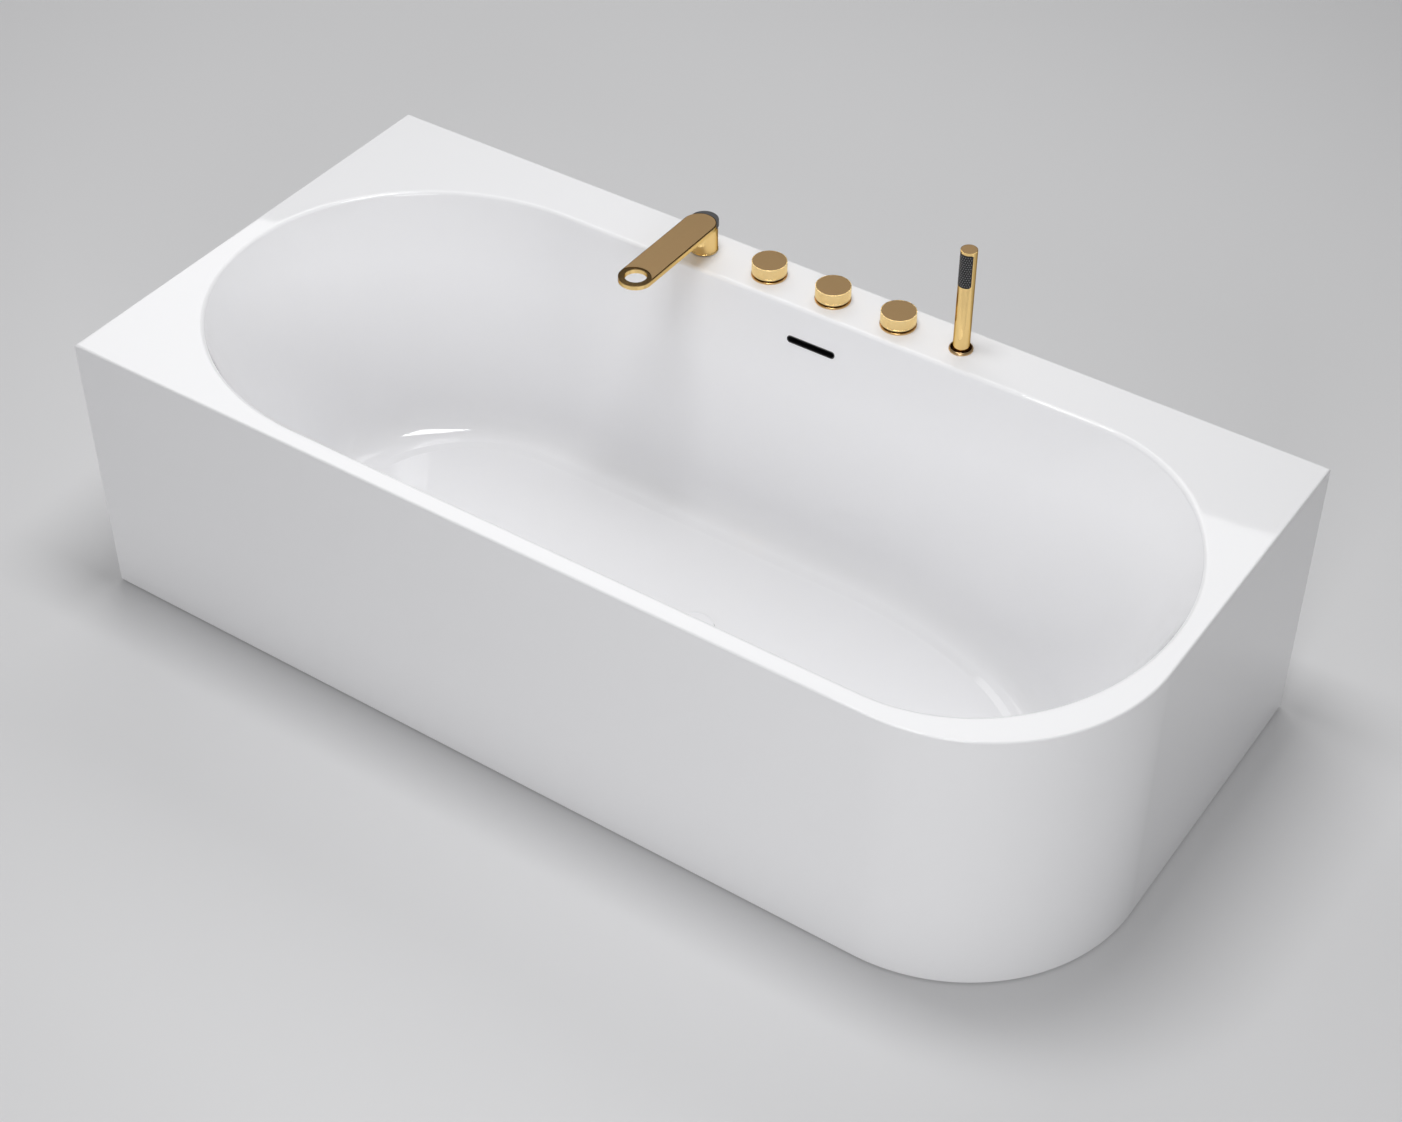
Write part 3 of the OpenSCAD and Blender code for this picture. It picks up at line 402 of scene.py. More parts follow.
def add(tree, kind, inputs, **settings):
    """Adds a shader node with its settings and fills its inputs."""
    made = tree.nodes.new("ShaderNode" + kind)
    for key, value in settings.items():
        setattr(made, key, value)
    return feed(tree, made, inputs)


def maths(tree, operation, a, b):
    """A maths node on two sockets or numbers, giving its output."""
    return add(tree, "Math", {0: a, 1: b}, operation=operation).outputs[0]


def noise(tree, vector, scale, detail):
    """A noise texture, giving its value."""
    inputs = {"Vector": vector, "Scale": scale, "Detail": detail}
    return add(tree, "TexNoise", inputs).outputs[0]


def group(name, inputs, outputs):
    """A shader node group with its input sockets and its output node."""
    made = bpy.data.node_groups.new(name, "ShaderNodeTree")
    for way, sockets in (("INPUT", inputs), ("OUTPUT", outputs)):
        for label, kind in sockets.items():
            made.interface.new_socket(label, in_out=way, socket_type="NodeSocket" + kind)
    return made, made.nodes.new("NodeGroupInput").outputs, made.nodes.new("NodeGroupOutput")


@cache
def drift_group():
    """Slow drift of a colour and its roughness over a surface, as wiping and water leave it."""
    made, given, out = group(
        "Surface drift",
        {"Vector": "Vector", "Colour": "Color", "Scale": "Float", "Tone": "Float",
         "Roughness": "Float", "Spread": "Float"}, {"Colour": "Color", "Roughness": "Float"})
    slow = maths(made, "SUBTRACT", noise(made, given["Vector"], given["Scale"], 4.0), 0.5)
    bright = maths(made, "ADD", maths(made, "MULTIPLY", slow, given["Tone"]), 1.0)
    scaled = add(made, "VectorMath", {0: given["Colour"], "Scale": bright}, operation="SCALE")
    fine = noise(made, given["Vector"], maths(made, "MULTIPLY", given["Scale"], 7.0), 3.0)
    both = maths(made, "ADD", slow, maths(made, "SUBTRACT", fine, 0.5))
    feed(made, out, {
        "Colour": scaled.outputs[0],
        "Roughness": maths(made, "ADD", given["Roughness"],
                           maths(made, "MULTIPLY", both, given["Spread"]))})
    return made


@cache
def grain_group():
    """Fine grain as a height: blasted, brushed or moulded, by its scale and stretch."""
    made, given, out = group("Fine grain", {"Vector": "Vector", "Scale": "Float",
                                            "Stretch": "Vector"}, {"Height": "Float"})
    vector = add(made, "VectorMath", {0: given["Vector"], 1: given["Stretch"]},
                 operation="MULTIPLY").outputs[0]
    fine = noise(made, vector, given["Scale"], 2.0)
    coarse = noise(made, vector, maths(made, "MULTIPLY", given["Scale"], 0.3), 2.0)
    feed(made, out, {"Height": maths(made, "ADD", maths(made, "MULTIPLY", fine, 0.7),
                                     maths(made, "MULTIPLY", coarse, 0.3))})
    return made


@cache
def thread_group():
    """Screw thread along Z as a height."""
    made, given, out = group("Screw thread", {"Vector": "Vector", "Pitch": "Float"},
                             {"Height": "Float"})
    along = add(made, "SeparateXYZ", {0: given["Vector"]}).outputs["Z"]
    turns = maths(made, "DIVIDE", along, given["Pitch"])
    feed(made, out, {"Height": maths(made, "PINGPONG", turns, 0.5)})
    return made


def relief(tree, shader, heights, depth, inputs):
    """Raises a surface by the height that a group gives, through a Bump node."""
    height = add(tree, "Group", inputs, node_tree=heights).outputs["Height"]
    bump = add(tree, "Bump", {"Strength": 1.0, "Distance": depth, "Height": height})
    feed(tree, shader, {"Normal": bump.outputs["Normal"]})


def flecks_over(tree, shader, at, base, scale):
    """Lays flecks of slightly different tone over a surface: zinc crystals or wood flakes."""
    cells = add(tree, "TexVoronoi", {"Vector": at, "Scale": scale})
    grey = add(tree, "RGBToBW", {0: cells.outputs["Color"]})
    mix = add(tree, "Mix", {
        "Factor": grey.outputs[0], "A": (*(c * 0.78 for c in base), 1.0),
        "B": (*(min(1.0, c * 1.14) for c in base), 1.0)}, data_type="RGBA")
    feed(tree, shader, {"Base Color": mix.outputs["Result"]})


def material(name, base, roughness, tone, spread, drift, metal=0.0, grain=None,
             stretch=(1.0, 1.0, 1.0), flecks=None, thread=None, **sockets):
    """A material whose colour, roughness and fine relief drift over the surface."""
    made = bpy.data.materials.new(name)
    made.use_nodes = True
    tree = made.node_tree
    shader = tree.nodes["Principled BSDF"]
    at = add(tree, "TexCoord", {}).outputs["Object"]
    shade = add(tree, "Group", {
        "Vector": at, "Colour": (*base, 1.0), "Scale": drift, "Tone": tone,
        "Roughness": roughness, "Spread": spread}, node_tree=drift_group()).outputs
    feed(tree, shader, {"Base Color": shade["Colour"], "Roughness": shade["Roughness"],
                        "Metallic": metal, **sockets})
    if flecks:
        flecks_over(tree, shader, at, base, flecks)
    if grain:
        depth, scale = grain
        relief(tree, shader, grain_group(), depth,
               {"Vector": at, "Scale": scale, "Stretch": stretch})
    if thread:
        depth, pitch = thread
        relief(tree, shader, thread_group(), depth, {"Vector": at, "Pitch": pitch})
    return made


def finishes(looks):
    """Every finish: colour, roughness, tone, spread and drift, then its other settings.

    Grain is given by depth and scale, and a thread by depth and pitch.
    """
    metal = {"metal": 1.0}
    return {
        # Glossy sanitary acrylic with a faint orange-peel surface
        "Acrylic": (looks.white, looks.gloss, 0.012, 0.012, 2.5,
                    {"grain": (0.00012, 9.0), "IOR": 1.49}),
        # Golds with faint wiping marks, from polished to blasted
        "Polished gold": (looks.gold, looks.mirror, 0.05, 0.05, 30.0,
                          {**metal, "Specular Tint": (*looks.edge, 1.0)}),
        # Frame gold is darkened as a painted dark reflection.
        "Frame gold painted dark reflection": (looks.frame, looks.mirror, 0.05, 0.05, 30.0, metal),
        "Ring gold": (looks.ring, looks.mirror + 0.05, 0.05, 0.05, 30.0, metal),
        # Socket gold is darkened as a painted dark reflection, and rougher.
        "Socket gold painted dark reflection": (looks.socket, looks.mirror + 0.22, 0.08, 0.05, 60.0, metal),
        # Dish gold is near black: a painted dark reflection on polished gold.
        "Dish gold painted dark reflection": (looks.dish, looks.mirror + 0.03, 0.08, 0.05, 60.0, metal),
        "Grip gold": (looks.grip, looks.mirror + 0.10, 0.10, 0.08, 60.0,
                      {**metal, "grain": (0.0012, 420.0)}),
        "Dull gold": (looks.dull, looks.satin, 0.07, 0.05, 40.0,
                      {**metal, "grain": (0.00003, 2600.0)}),
        # Rubber and moulded plastic
        # Grey jet tips: painted highlights on black rubber.
        "Jet rubber painted highlight": (looks.jets, 0.35, 0.2, 0.08, 90.0, {}),
        "Black rubber": (looks.black, 0.42, 0.3, 0.08, 50.0, {"grain": (0.00004, 1500.0)}),
        "Plain rubber": (looks.rubber, 0.72, 0.3, 0.1, 60.0, {"grain": (0.0001, 1200.0)}),
        "Swivel disc": (looks.disc, 0.38, 0.2, 0.06, 40.0, {"grain": (0.00003, 2000.0)}),
        "Drain plastic": (looks.pipe, 0.36, 0.05, 0.08, 16.0, {"grain": (0.00005, 500.0)}),
        "Dark plastic": (looks.dark, 0.35, 0.2, 0.08, 20.0, {"grain": (0.00004, 700.0)}),
        # Zinc with its spangle, threaded studs, machined brass, chrome and pressed wood
        "Galvanised steel": (looks.steel, 0.34, 0.08, 0.08, 12.0, {**metal, "flecks": 90.0}),
        "Threaded steel": (looks.steel, 0.3, 0.1, 0.08, 60.0,
                           {**metal, "thread": (0.0008, 1.5 * MM)}),
        "Raw brass": (looks.brass, 0.28, 0.12, 0.1, 45.0,
                      {**metal, "grain": (0.00008, 350.0), "stretch": (0.15, 0.15, 6.0)}),
        "Bright chrome": (looks.chrome, 0.06, 0.03, 0.04, 40.0, metal),
        "Particle board": (looks.board, 0.8, 0.2, 0.1, 14.0,
                           {"grain": (0.0004, 260.0), "flecks": 170.0}),
    }


@cache
def finish(name):
    """Material of one finish, made when it is first asked for."""
    *main, others = finishes(bpy.context.scene.bath_finishes)[name]
    return material(name, *main, **others)


# The oval of the basin, and the pieces of acrylic

# One ring of the basin: two half ellipses that share their half width
Oval = namedtuple("Oval", "half left right left_at right_at centre height")


def oval_at(bath, depth, side, end, height):
    """Ring of the basin at a share of its depth, drawn in at its sides and ends."""
    low, high = CAD_BOX
    x0 = low.x + bath.rim_left
    x1 = high.x - bath.rim_right
    y0 = low.y + bath.rim_front
    y1 = high.y - bath.rim_back
    left = bath.left_end + (bath.left_floor - bath.left_end) * depth - end
    right = bath.right_end + (bath.right_floor - bath.right_end) * depth - end
    return Oval((y1 - y0) / 2 - bath.side_lean * depth - side, left, right,
                x0 + bath.left_lean * depth + end + left,
                x1 - bath.right_lean * depth - end - right, (y0 + y1) / 2, height)


def basin_rings(bath, rim):
    """Rings of the basin from the deck down to the waste hole and back up outside."""
    edge_z = rim - bath.depth
    floor_z = edge_z - bath.floor_drop
    lip_depth = bath.lip / bath.depth
    cove_top = 1 - bath.cove / bath.depth

    def wall(depth, out):
        """Ring on the leaning wall."""
        return oval_at(bath, depth, out, out, rim - bath.depth * depth)

    def lip(out, drop):
        """Ring on the soft edge between deck and wall."""
        return oval_at(bath, lip_depth, out, out, rim - drop)

    def cove(u, grow):
        """Ring in the curve from the wall to the floor, at a share of its run."""
        depth = 1 - (1 - u) ** 2 * bath.cove / bath.depth
        return oval_at(bath, depth, u * u * bath.cove_side - grow,
                       u * u * bath.cove_end - grow, rim - bath.depth * depth - grow * u)

    def floor(reach, height):
        """Ring on the floor, at a reach inside the end of the cove."""
        return oval_at(bath, 1, bath.cove_side + reach, bath.cove_end + reach, height)

    def hole(height):
        """Round ring of the waste hole."""
        x, y = node_axis("waste_flange")
        return Oval(WASTE_HOLE, WASTE_HOLE, WASTE_HOLE, x, x, y, height)

    fall = bath.floor_drop / bath.floor_step
    rings = [lip(-bath.lip - 2 * MM, 0)]
    for step in range(9):
        angle = math.radians(90 - 90 * step / 8)
        rings.append(lip(-bath.lip * (1 - math.cos(angle)), bath.lip * (1 - math.sin(angle))))
    rings += [wall(lip_depth + (cove_top - lip_depth) * step / 8, 0) for step in range(1, 9)]
    rings += [cove(step / 14, 0) for step in range(1, 15)]
    rings += [floor(reach, edge_z - reach * fall)
              for reach in (bath.crease, bath.floor_step - bath.crease)]
    rings += [floor(bath.floor_step + reach, floor_z) for reach in (0, bath.crease, 12 * MM)]
    rings += [hole(floor_z), hole(floor_z - bath.wall)]
    rings.append(floor(bath.floor_step - bath.wall, floor_z - bath.wall))
    rings += [cove(step / 10, bath.wall) for step in range(10, -1, -1)]
    rings += [wall(cove_top + (bath.deck / bath.depth - cove_top) * step / 4, -bath.wall)
              for step in range(1, 5)]
    return rings


def shape_half(right, old, new):
    """Moves the selected half of a ring from its old oval to a new one."""
    old_at, new_at = (old.right_at, new.right_at) if right else (old.left_at, new.left_at)
    old_r, new_r = (old.right, new.right) if right else (old.left, new.left)
    bpy.ops.transform.resize(value=(new_r / old_r, new.half / old.half, 1),
                             center_override=(old_at, old.centre, old.height))
    bpy.ops.transform.translate(value=(new_at - old_at, new.centre - old.centre,
                                       new.height - old.height))


def split_ring(fresh, halves):
    """Parts a fresh ring in two: the first by place, the others by the edges they came by."""
    sides = {index: side for side in halves for index in halves[side]}
    parted = {-1: set(), 1: set()}
    for vert in fresh:
        if not sides:
            parted[1 if vert.co.x > 0 else -1].add(vert.index)
        for edge in vert.link_edges:
            side = sides.get(edge.other_vert(vert).index)
            if side:
                parted[side].add(vert.index)
    return parted


def draw_basin(rings, points=192):
    """Draws a circle down into the basin, ring by ring."""
    at_rest()
    bpy.ops.mesh.primitive_circle_add(
        vertices=points, radius=1 / math.cos(math.pi / points), fill_type="NOTHING",
        rotation=(0, 0, math.pi / points))
    piece = begin("basin")
    bpy.ops.mesh.select_mode(type="VERT")
    previous = Oval(1, 1, 1, 0, 0, 0, 0)
    halves = {}
    for ring in rings:
        if halves:
            bpy.ops.mesh.extrude_edges_move()
        fresh = [v for v in bmesh.from_edit_mesh(piece.data).verts if v.select]
        halves = split_ring(fresh, halves)
        for side, half in halves.items():
            pick("VERT", lambda v: v.index in half)
            shape_half(side > 0, previous, ring)
        pick("VERT", lambda v: v.index in halves[-1] or v.index in halves[1])
        previous = ring
    at_rest()
    return piece


def lay_on_wall(piece, context):
    """Turns a piece made flat at the origin on to the leaning wall at the overflow."""
    bath = context.scene.bath_sizes
    fit = context.scene.bath_fittings
    take(piece)
    piece.rotation_euler = (math.pi / 2 - math.atan(bath.side_lean / bath.depth), 0, 0)
    piece.location = (
        node_axis("overflow_pipe")[0],
        CAD_BOX[1].y - bath.rim_back - bath.side_lean * fit.slot_drop / bath.depth,
        node_high("bath_shell") - fit.slot_drop)
    bpy.ops.object.transform_apply(location=True, rotation=True, scale=True)


def wide_flat(face, up):
    """Whether a face is one of the large level ones, looking up or down."""
    return up * face.normal.z > 0.99 and face.calc_area() > 0.5


class BATH_OT_shell(bpy.types.Operator):
    """Models the acrylic shell: deck, basin, lip at the wall, overflow slot and deck holes"""
    bl_idname = "bath.shell"
    bl_label = "Acrylic shell"

    def execute(self, context):
        bath = context.scene.bath_sizes
        fit = context.scene.bath_fittings
        low, high = CAD_BOX
        rim = node_high("bath_shell")
        under = rim - bath.deck
        plate = block("shell", (low.x, low.y, under), (high.x, high.y, rim))
        round_corner(under, rim, bath.corner)
        pick("EDGE", lambda e: all(v.co.z > rim - TINY for v in e.verts))
        bpy.ops.mesh.bevel(offset=bath.edge, segments=5, affect="EDGES")
        pick("FACE", lambda f: wide_flat(f, 1))
        bpy.ops.mesh.inset(thickness=1.5 * MM)
        self.wall_lip(bath, under)
        for up in (1, -1):
            pick("FACE", lambda f: wide_flat(f, up))
            bpy.ops.mesh.delete(type="ONLY_FACE")
        join(plate, draw_basin(basin_rings(bath, rim)))
        bpy.ops.object.mode_set(mode="EDIT")
        for level in (rim, under):
            pick("EDGE", lambda e: e.is_boundary and
                 all(abs(v.co.z - level) < 0.02 * MM for v in e.verts))
            bpy.ops.mesh.fill()
        close_normals()
        slot = stadium("slot_cutter", (0, 0), fit.slot, fit.slot_high, -30 * MM, 30 * MM)
        lay_on_wall(slot, context)
        combine(plate, slot)
        for node, radius in DECK_HOLES.items():
            drill(plate, node_axis(node), radius * MM, under - 5 * MM, rim + 5 * MM, 96)
        place(plate, "bath", "acrylic", "Acrylic", "bath_shell", angle=34)
        return {"FINISHED"}

    def wall_lip(self, bath, under):
        """Turns the deck's back edge down to the wall brackets, between the skirt's ends."""
        high = CAD_BOX[1]
        back = high.y - bath.deck
        side_in = high.x - bath.skirt_wall
        pick("FACE", lambda f: f.normal.z < -0.99)
        bpy.ops.mesh.bisect(plane_co=(0, back, 0), plane_no=(0, 1, 0))
        for side in (-1, 1):
            pick("FACE", lambda f: f.normal.z < -0.99 and f.calc_center_median().y > back)
            bpy.ops.mesh.bisect(plane_co=(side * side_in, 0, 0), plane_no=(1, 0, 0))
        pick("FACE", lambda f: f.normal.z < -0.99 and f.calc_center_median().y > back and
             abs(f.calc_center_median().x) < side_in)
        bpy.ops.mesh.extrude_region_move(
            TRANSFORM_OT_translate={"value": (0, 0, node_high("wall_brackets") - under)})


class BATH_OT_skirt(bpy.types.Operator):
    """Models the skirt round the left end, the front and the right end"""
    bl_idname = "bath.skirt"
    bl_label = "Skirt"

    def execute(self, context):
        bath = context.scene.bath_sizes
        low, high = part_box("skirt")
        skirt = block("skirt_panel", low, high)
        round_corner(low.z, high.z, bath.corner)
        for up in (-1, 1):
            pick("FACE", lambda f: wide_flat(f, up))
            bpy.ops.mesh.inset(thickness=bath.skirt_flange)
            bpy.ops.mesh.delete(type="FACE")
        edge = high.x - bath.skirt_return
        for side in (-1, 1):
            pick("FACE", lambda f: f.normal.y > 0.99)
            bpy.ops.mesh.bisect(plane_co=(side * edge, 0, 0), plane_no=(1, 0, 0))
        pick("FACE", lambda f: f.calc_center_median().y > high.y - bath.skirt_flange and
             abs(f.calc_center_median().x) < edge)
        bpy.ops.mesh.delete(type="FACE")
        close_normals()
        applied(skirt, "SOLIDIFY", thickness=bath.skirt_wall, offset=-1, use_even_offset=True)
        place(skirt, "bath", "skirt_acrylic", "Acrylic", "skirt", angle=30)
        return {"FINISHED"}


class BATH_OT_overflow(bpy.types.Operator):
    """Models the black trim of the overflow slot"""
    bl_idname = "bath.overflow"
    bl_label = "Overflow trim"

    def execute(self, context):
        trim = self.slot(context, "overflow_ring", 1.2, 0, 0.6)
        combine(trim, self.slot(context, "sleeve", -0.2, -14, 0.4), "UNION")
        combine(trim, self.slot(context, "hole", -2.4, -20, 5))
        soften(trim, 0.2 * MM, 2)
        lay_on_wall(trim, context)
        place(trim, "bath", "black_trim", "Dark plastic", "overflow_trim", angle=32)
        return {"FINISHED"}

    def slot(self, context, name, grow, low, high):
        """A plate with the slot's outline, grown and placed in millimetres."""
        fit = context.scene.bath_fittings
        return stadium(name, (0, 0), fit.slot + grow * MM, fit.slot_high + grow * MM,
                       low * MM, high * MM)


class BATH_OT_waste(bpy.types.Operator):
    """Turns the waste flange with its spider, and the domed plug"""
    bl_idname = "bath.waste"
    bl_label = "Waste and plug"

    def execute(self, context):
        axis, outer, low, top = round_node("waste_flange")
        under = top - 2.5 * MM
        neck, bore = 25 * MM, 21 * MM
        flange = turned("waste_ring", axis, [
            (neck, under), *near(outer, under, (-0.4, 0), (0, 0.4)),
            *near(outer, top, (0, -1.2), (-1.4, 0)), *near(bore, top, (1, 0), (0, -1)),
            (bore, low), (neck, low)], hollow=True)
        spokes = []
        for step in range(3):
            x, y = axis
            reach = bore + 0.5 * MM
            arm = block("arm", (x - reach, y - 2 * MM, under - 18 * MM),
                        (x + reach, y + 2 * MM, under - 13 * MM))
            bpy.ops.transform.rotate(value=math.radians(60 * step), orient_axis="Z",
                                     center_override=(x, y, 0))
            spokes.append(arm)
        join(flange, *spokes)
        place(flange, "bath", "chrome_trim", "Bright chrome", "waste_flange", angle=32)
        self.plug(axis)
        return {"FINISHED"}

    def plug(self, axis):
        """Domed plug on its stem."""
        wide, low, high = round_node("waste_plug")[1:]
        base = node_high("plug_seal")
        stem = 4 * MM
        dome = [(wide * math.sin(math.radians(a)),
                 base + (high - base) * (0.35 + 0.65 * math.cos(math.radians(a))))
                for a in range(80, 0, -8)]
        plug = turned("plug_cap", axis, [
            (stem, low), (stem, base), *near(wide, base, (-1, 0), (0, 1), (0, 2.3)), *dome])
        place(plug, "plug", "white_cap", "Acrylic", "waste_plug")


class BATH_OT_knobs(bpy.types.Operator):
    """Turns the three grooved knobs with their dull inlays and base rings"""
    bl_idname = "bath.knobs"
    bl_label = "Tap knobs"

    def execute(self, context):
        low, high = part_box("knob_base_rings")
        radius = (high.y - low.y) / 2
        bore = 15 * MM
        rings = []
        for body, node in KNOBS:
            self.knob(context.scene.bath_fittings, body, node)
            rings.append(turned("base_ring", node_axis(node), [
                (radius, low.z), *near(radius, high.z, (0, -0.8), (-0.25, -0.3), (-0.8, 0)),
                (bore, high.z), (bore, low.z)], hollow=True))
        ring = join(*rings)
        ring.name = "tap_base_rings"
        place(ring, "bath", "polished_gold", "Ring gold", "knob_base_rings")
        return {"FINISHED"}

    def knob(self, fit, body, node):
        """One knob: a grooved grip between two plain rims, over a shadow gap, and its inlay."""
        axis, radius, low, high = round_node(node)
        soft = fit.soft
        inner = radius - fit.knob_edge
        neck = radius - fit.undercut
        lip = low + fit.undercut
        grooves = lip + fit.knob_rim, high - fit.knob_rim
        points = 240
        piece = turned(node + "_grip", axis, [
            (18 * MM, low + 6.5 * MM), (18 * MM, low), (neck, low), (neck, lip),
            (radius - soft, lip), (radius - 0.15 * soft, lip + 0.3 * soft),
            (radius, lip + soft), (radius, grooves[0]), (radius, grooves[0] + 0.1 * MM),
            (radius, grooves[1] - 0.1 * MM), (radius, grooves[1]), (radius, high - soft),
            (radius - 0.15 * soft, high - 0.3 * soft), (radius - soft, high),
            (inner, high), (inner, high - 0.9 * MM)], points)
        take(piece)
        bpy.ops.object.mode_set(mode="EDIT")
        step = 2 * math.pi / points
        pick("VERT", lambda v: grooves[0] + 0.05 * MM < v.co.z < grooves[1] - 0.05 * MM and
             abs((v.co.xy - Vector(axis)).length - radius) < 0.01 * MM and
             round(math.atan2(v.co.y - axis[1], v.co.x - axis[0]) / step) % 2 == 0)
        shrink = (radius - fit.knob_groove) / radius
        bpy.ops.transform.resize(value=(shrink, shrink, 1), center_override=(*axis, 0))
        place(piece, body, "polished_gold", "Grip gold", node, angle=25)
        top = node_high(node + "_top")
        edge = inner - 0.15 * MM
        inlay = turned(node + "_inlay", axis, [
            (edge, top - 0.9 * MM), (edge, top - fit.inlay), (edge - fit.inlay, top),
            (inner - 2 * MM, top)])
        place(inlay, body, "dull_gold", "Dull gold", node + "_top")


class BATH_OT_spout(bpy.types.Operator):
    """Models the spout: column, dark disc, bar with its ring outlet and dull inlay"""
    bl_idname = "bath.spout"
    bl_label = "Spout"

    def execute(self, context):
        fit = context.scene.bath_fittings
        axis = node_axis("spout_column")
        under = node_high("spout_column") + BAR_GAP
        self.column()
        self.bar(fit, axis, under)
        self.plate(fit, axis)
        self.disc(fit, axis, under)
        return {"FINISHED"}

    def bar_shape(self, fit, name, grow, low, high):
        """Bar with round ends from the back of the spout to its ring."""
        axis = node_axis("spout_column")
        width = 2 * (round_node("spout_body")[1] + grow)
        reach = fit.spout_reach - fit.spout_set
        centre = (axis[0], axis[1] - (fit.spout_reach + fit.spout_set) / 2)
        return stadium(name, centre, reach + width, width, low, high, 1, 128)

    def column(self):
        """Round column with a fine foot and a bored head."""
        axis, foot, low, high = round_node("spout_column")
        radius = foot - 0.8 * MM
        seat, seat_low, bore = 13.05 * MM, high - 28 * MM, 9 * MM
        column = turned("spout_post", axis, [
            *near(foot, low, (-0.3, 0), (0, 0.3), (0, 1.5), (-0.3, 1.9), (-0.8, 2.2)),
            *near(radius, high, (0, -0.5), (-0.15, -0.15), (-0.5, 0)),
            (seat, high), (seat, seat_low), (bore, seat_low)], 160)
        place(column, "bath", "polished_gold", "Polished gold", "spout_column")

    def bar(self, fit, axis, under):
        """Gold bar with broken edges, its hub, the hole of its ring and its top frame."""
        low, high = node_levels("spout_body")
        seam = high - fit.frame_high
        bar = self.bar_shape(fit, "spout_bar", 0, under, seam)
        top = self.bar_shape(fit, "spout_frame", 0, seam, high)
        ring = (axis[0], axis[1] - fit.spout_reach)
        for piece in (bar, top):
            drill(piece, ring, fit.ring_hole / 2, under - 10 * MM, high + 10 * MM)
        soften(bar, 0.15 * MM, 2)
        soften(top, 0.3 * MM, 3)
        # The top frame takes the darkened gold, a painted dark reflection.
        place(top, "spout", "polished_gold", "Frame gold painted dark reflection", "spout_body")
        outer, bore, hub_top = 13 * MM, 9 * MM, under + 0.5 * MM
        join(bar, turned("hub", axis, [
            (outer, low), (outer, hub_top), (bore, hub_top), (bore, low)], 96, hollow=True))
        place(bar, "spout", "polished_gold", "Polished gold", "spout_body")

    def plate(self, fit, axis):
        """Dull inlay with a hollow end round the ring."""
        low, high = node_levels("spout_top_plate")
        plate = self.bar_shape(fit, "spout_inlay", -fit.plate_in, low, high)
        ring_y = axis[1] - fit.spout_reach
        combine(plate, block("front_cutter", (axis[0] - 0.1, ring_y - 0.1, low - 10 * MM),
                             (axis[0] + 0.1, ring_y, high + 10 * MM)))
        drill(plate, (axis[0], ring_y - fit.arc_at), fit.arc, low - 20 * MM, high + 20 * MM,
              160)
        soften(plate, fit.inlay, 2)
        place(plate, "spout", "dull_gold", "Dull gold", "spout_top_plate")

    def disc(self, fit, axis, under):
        """Dark disc whose crescent shows behind the bar."""
        radius, low, high = round_node("spout_swivel_cap")[1:]
        bore = 13.2 * MM
        disc = turned("swivel_disc", axis, [
            *near(radius, low, (-0.4, 0), (0, 0.4)),
            *near(radius, high, (0, -1.2), (-0.35, -0.35), (-1.2, 0)),
            (bore, high), (bore, low)], 160, hollow=True)
        combine(disc, self.bar_shape(fit, "bar_cutter", 0.1 * MM, under, high + 10 * MM))
        place(disc, "spout", "dark_cap", "Swivel disc", "spout_swivel_cap")


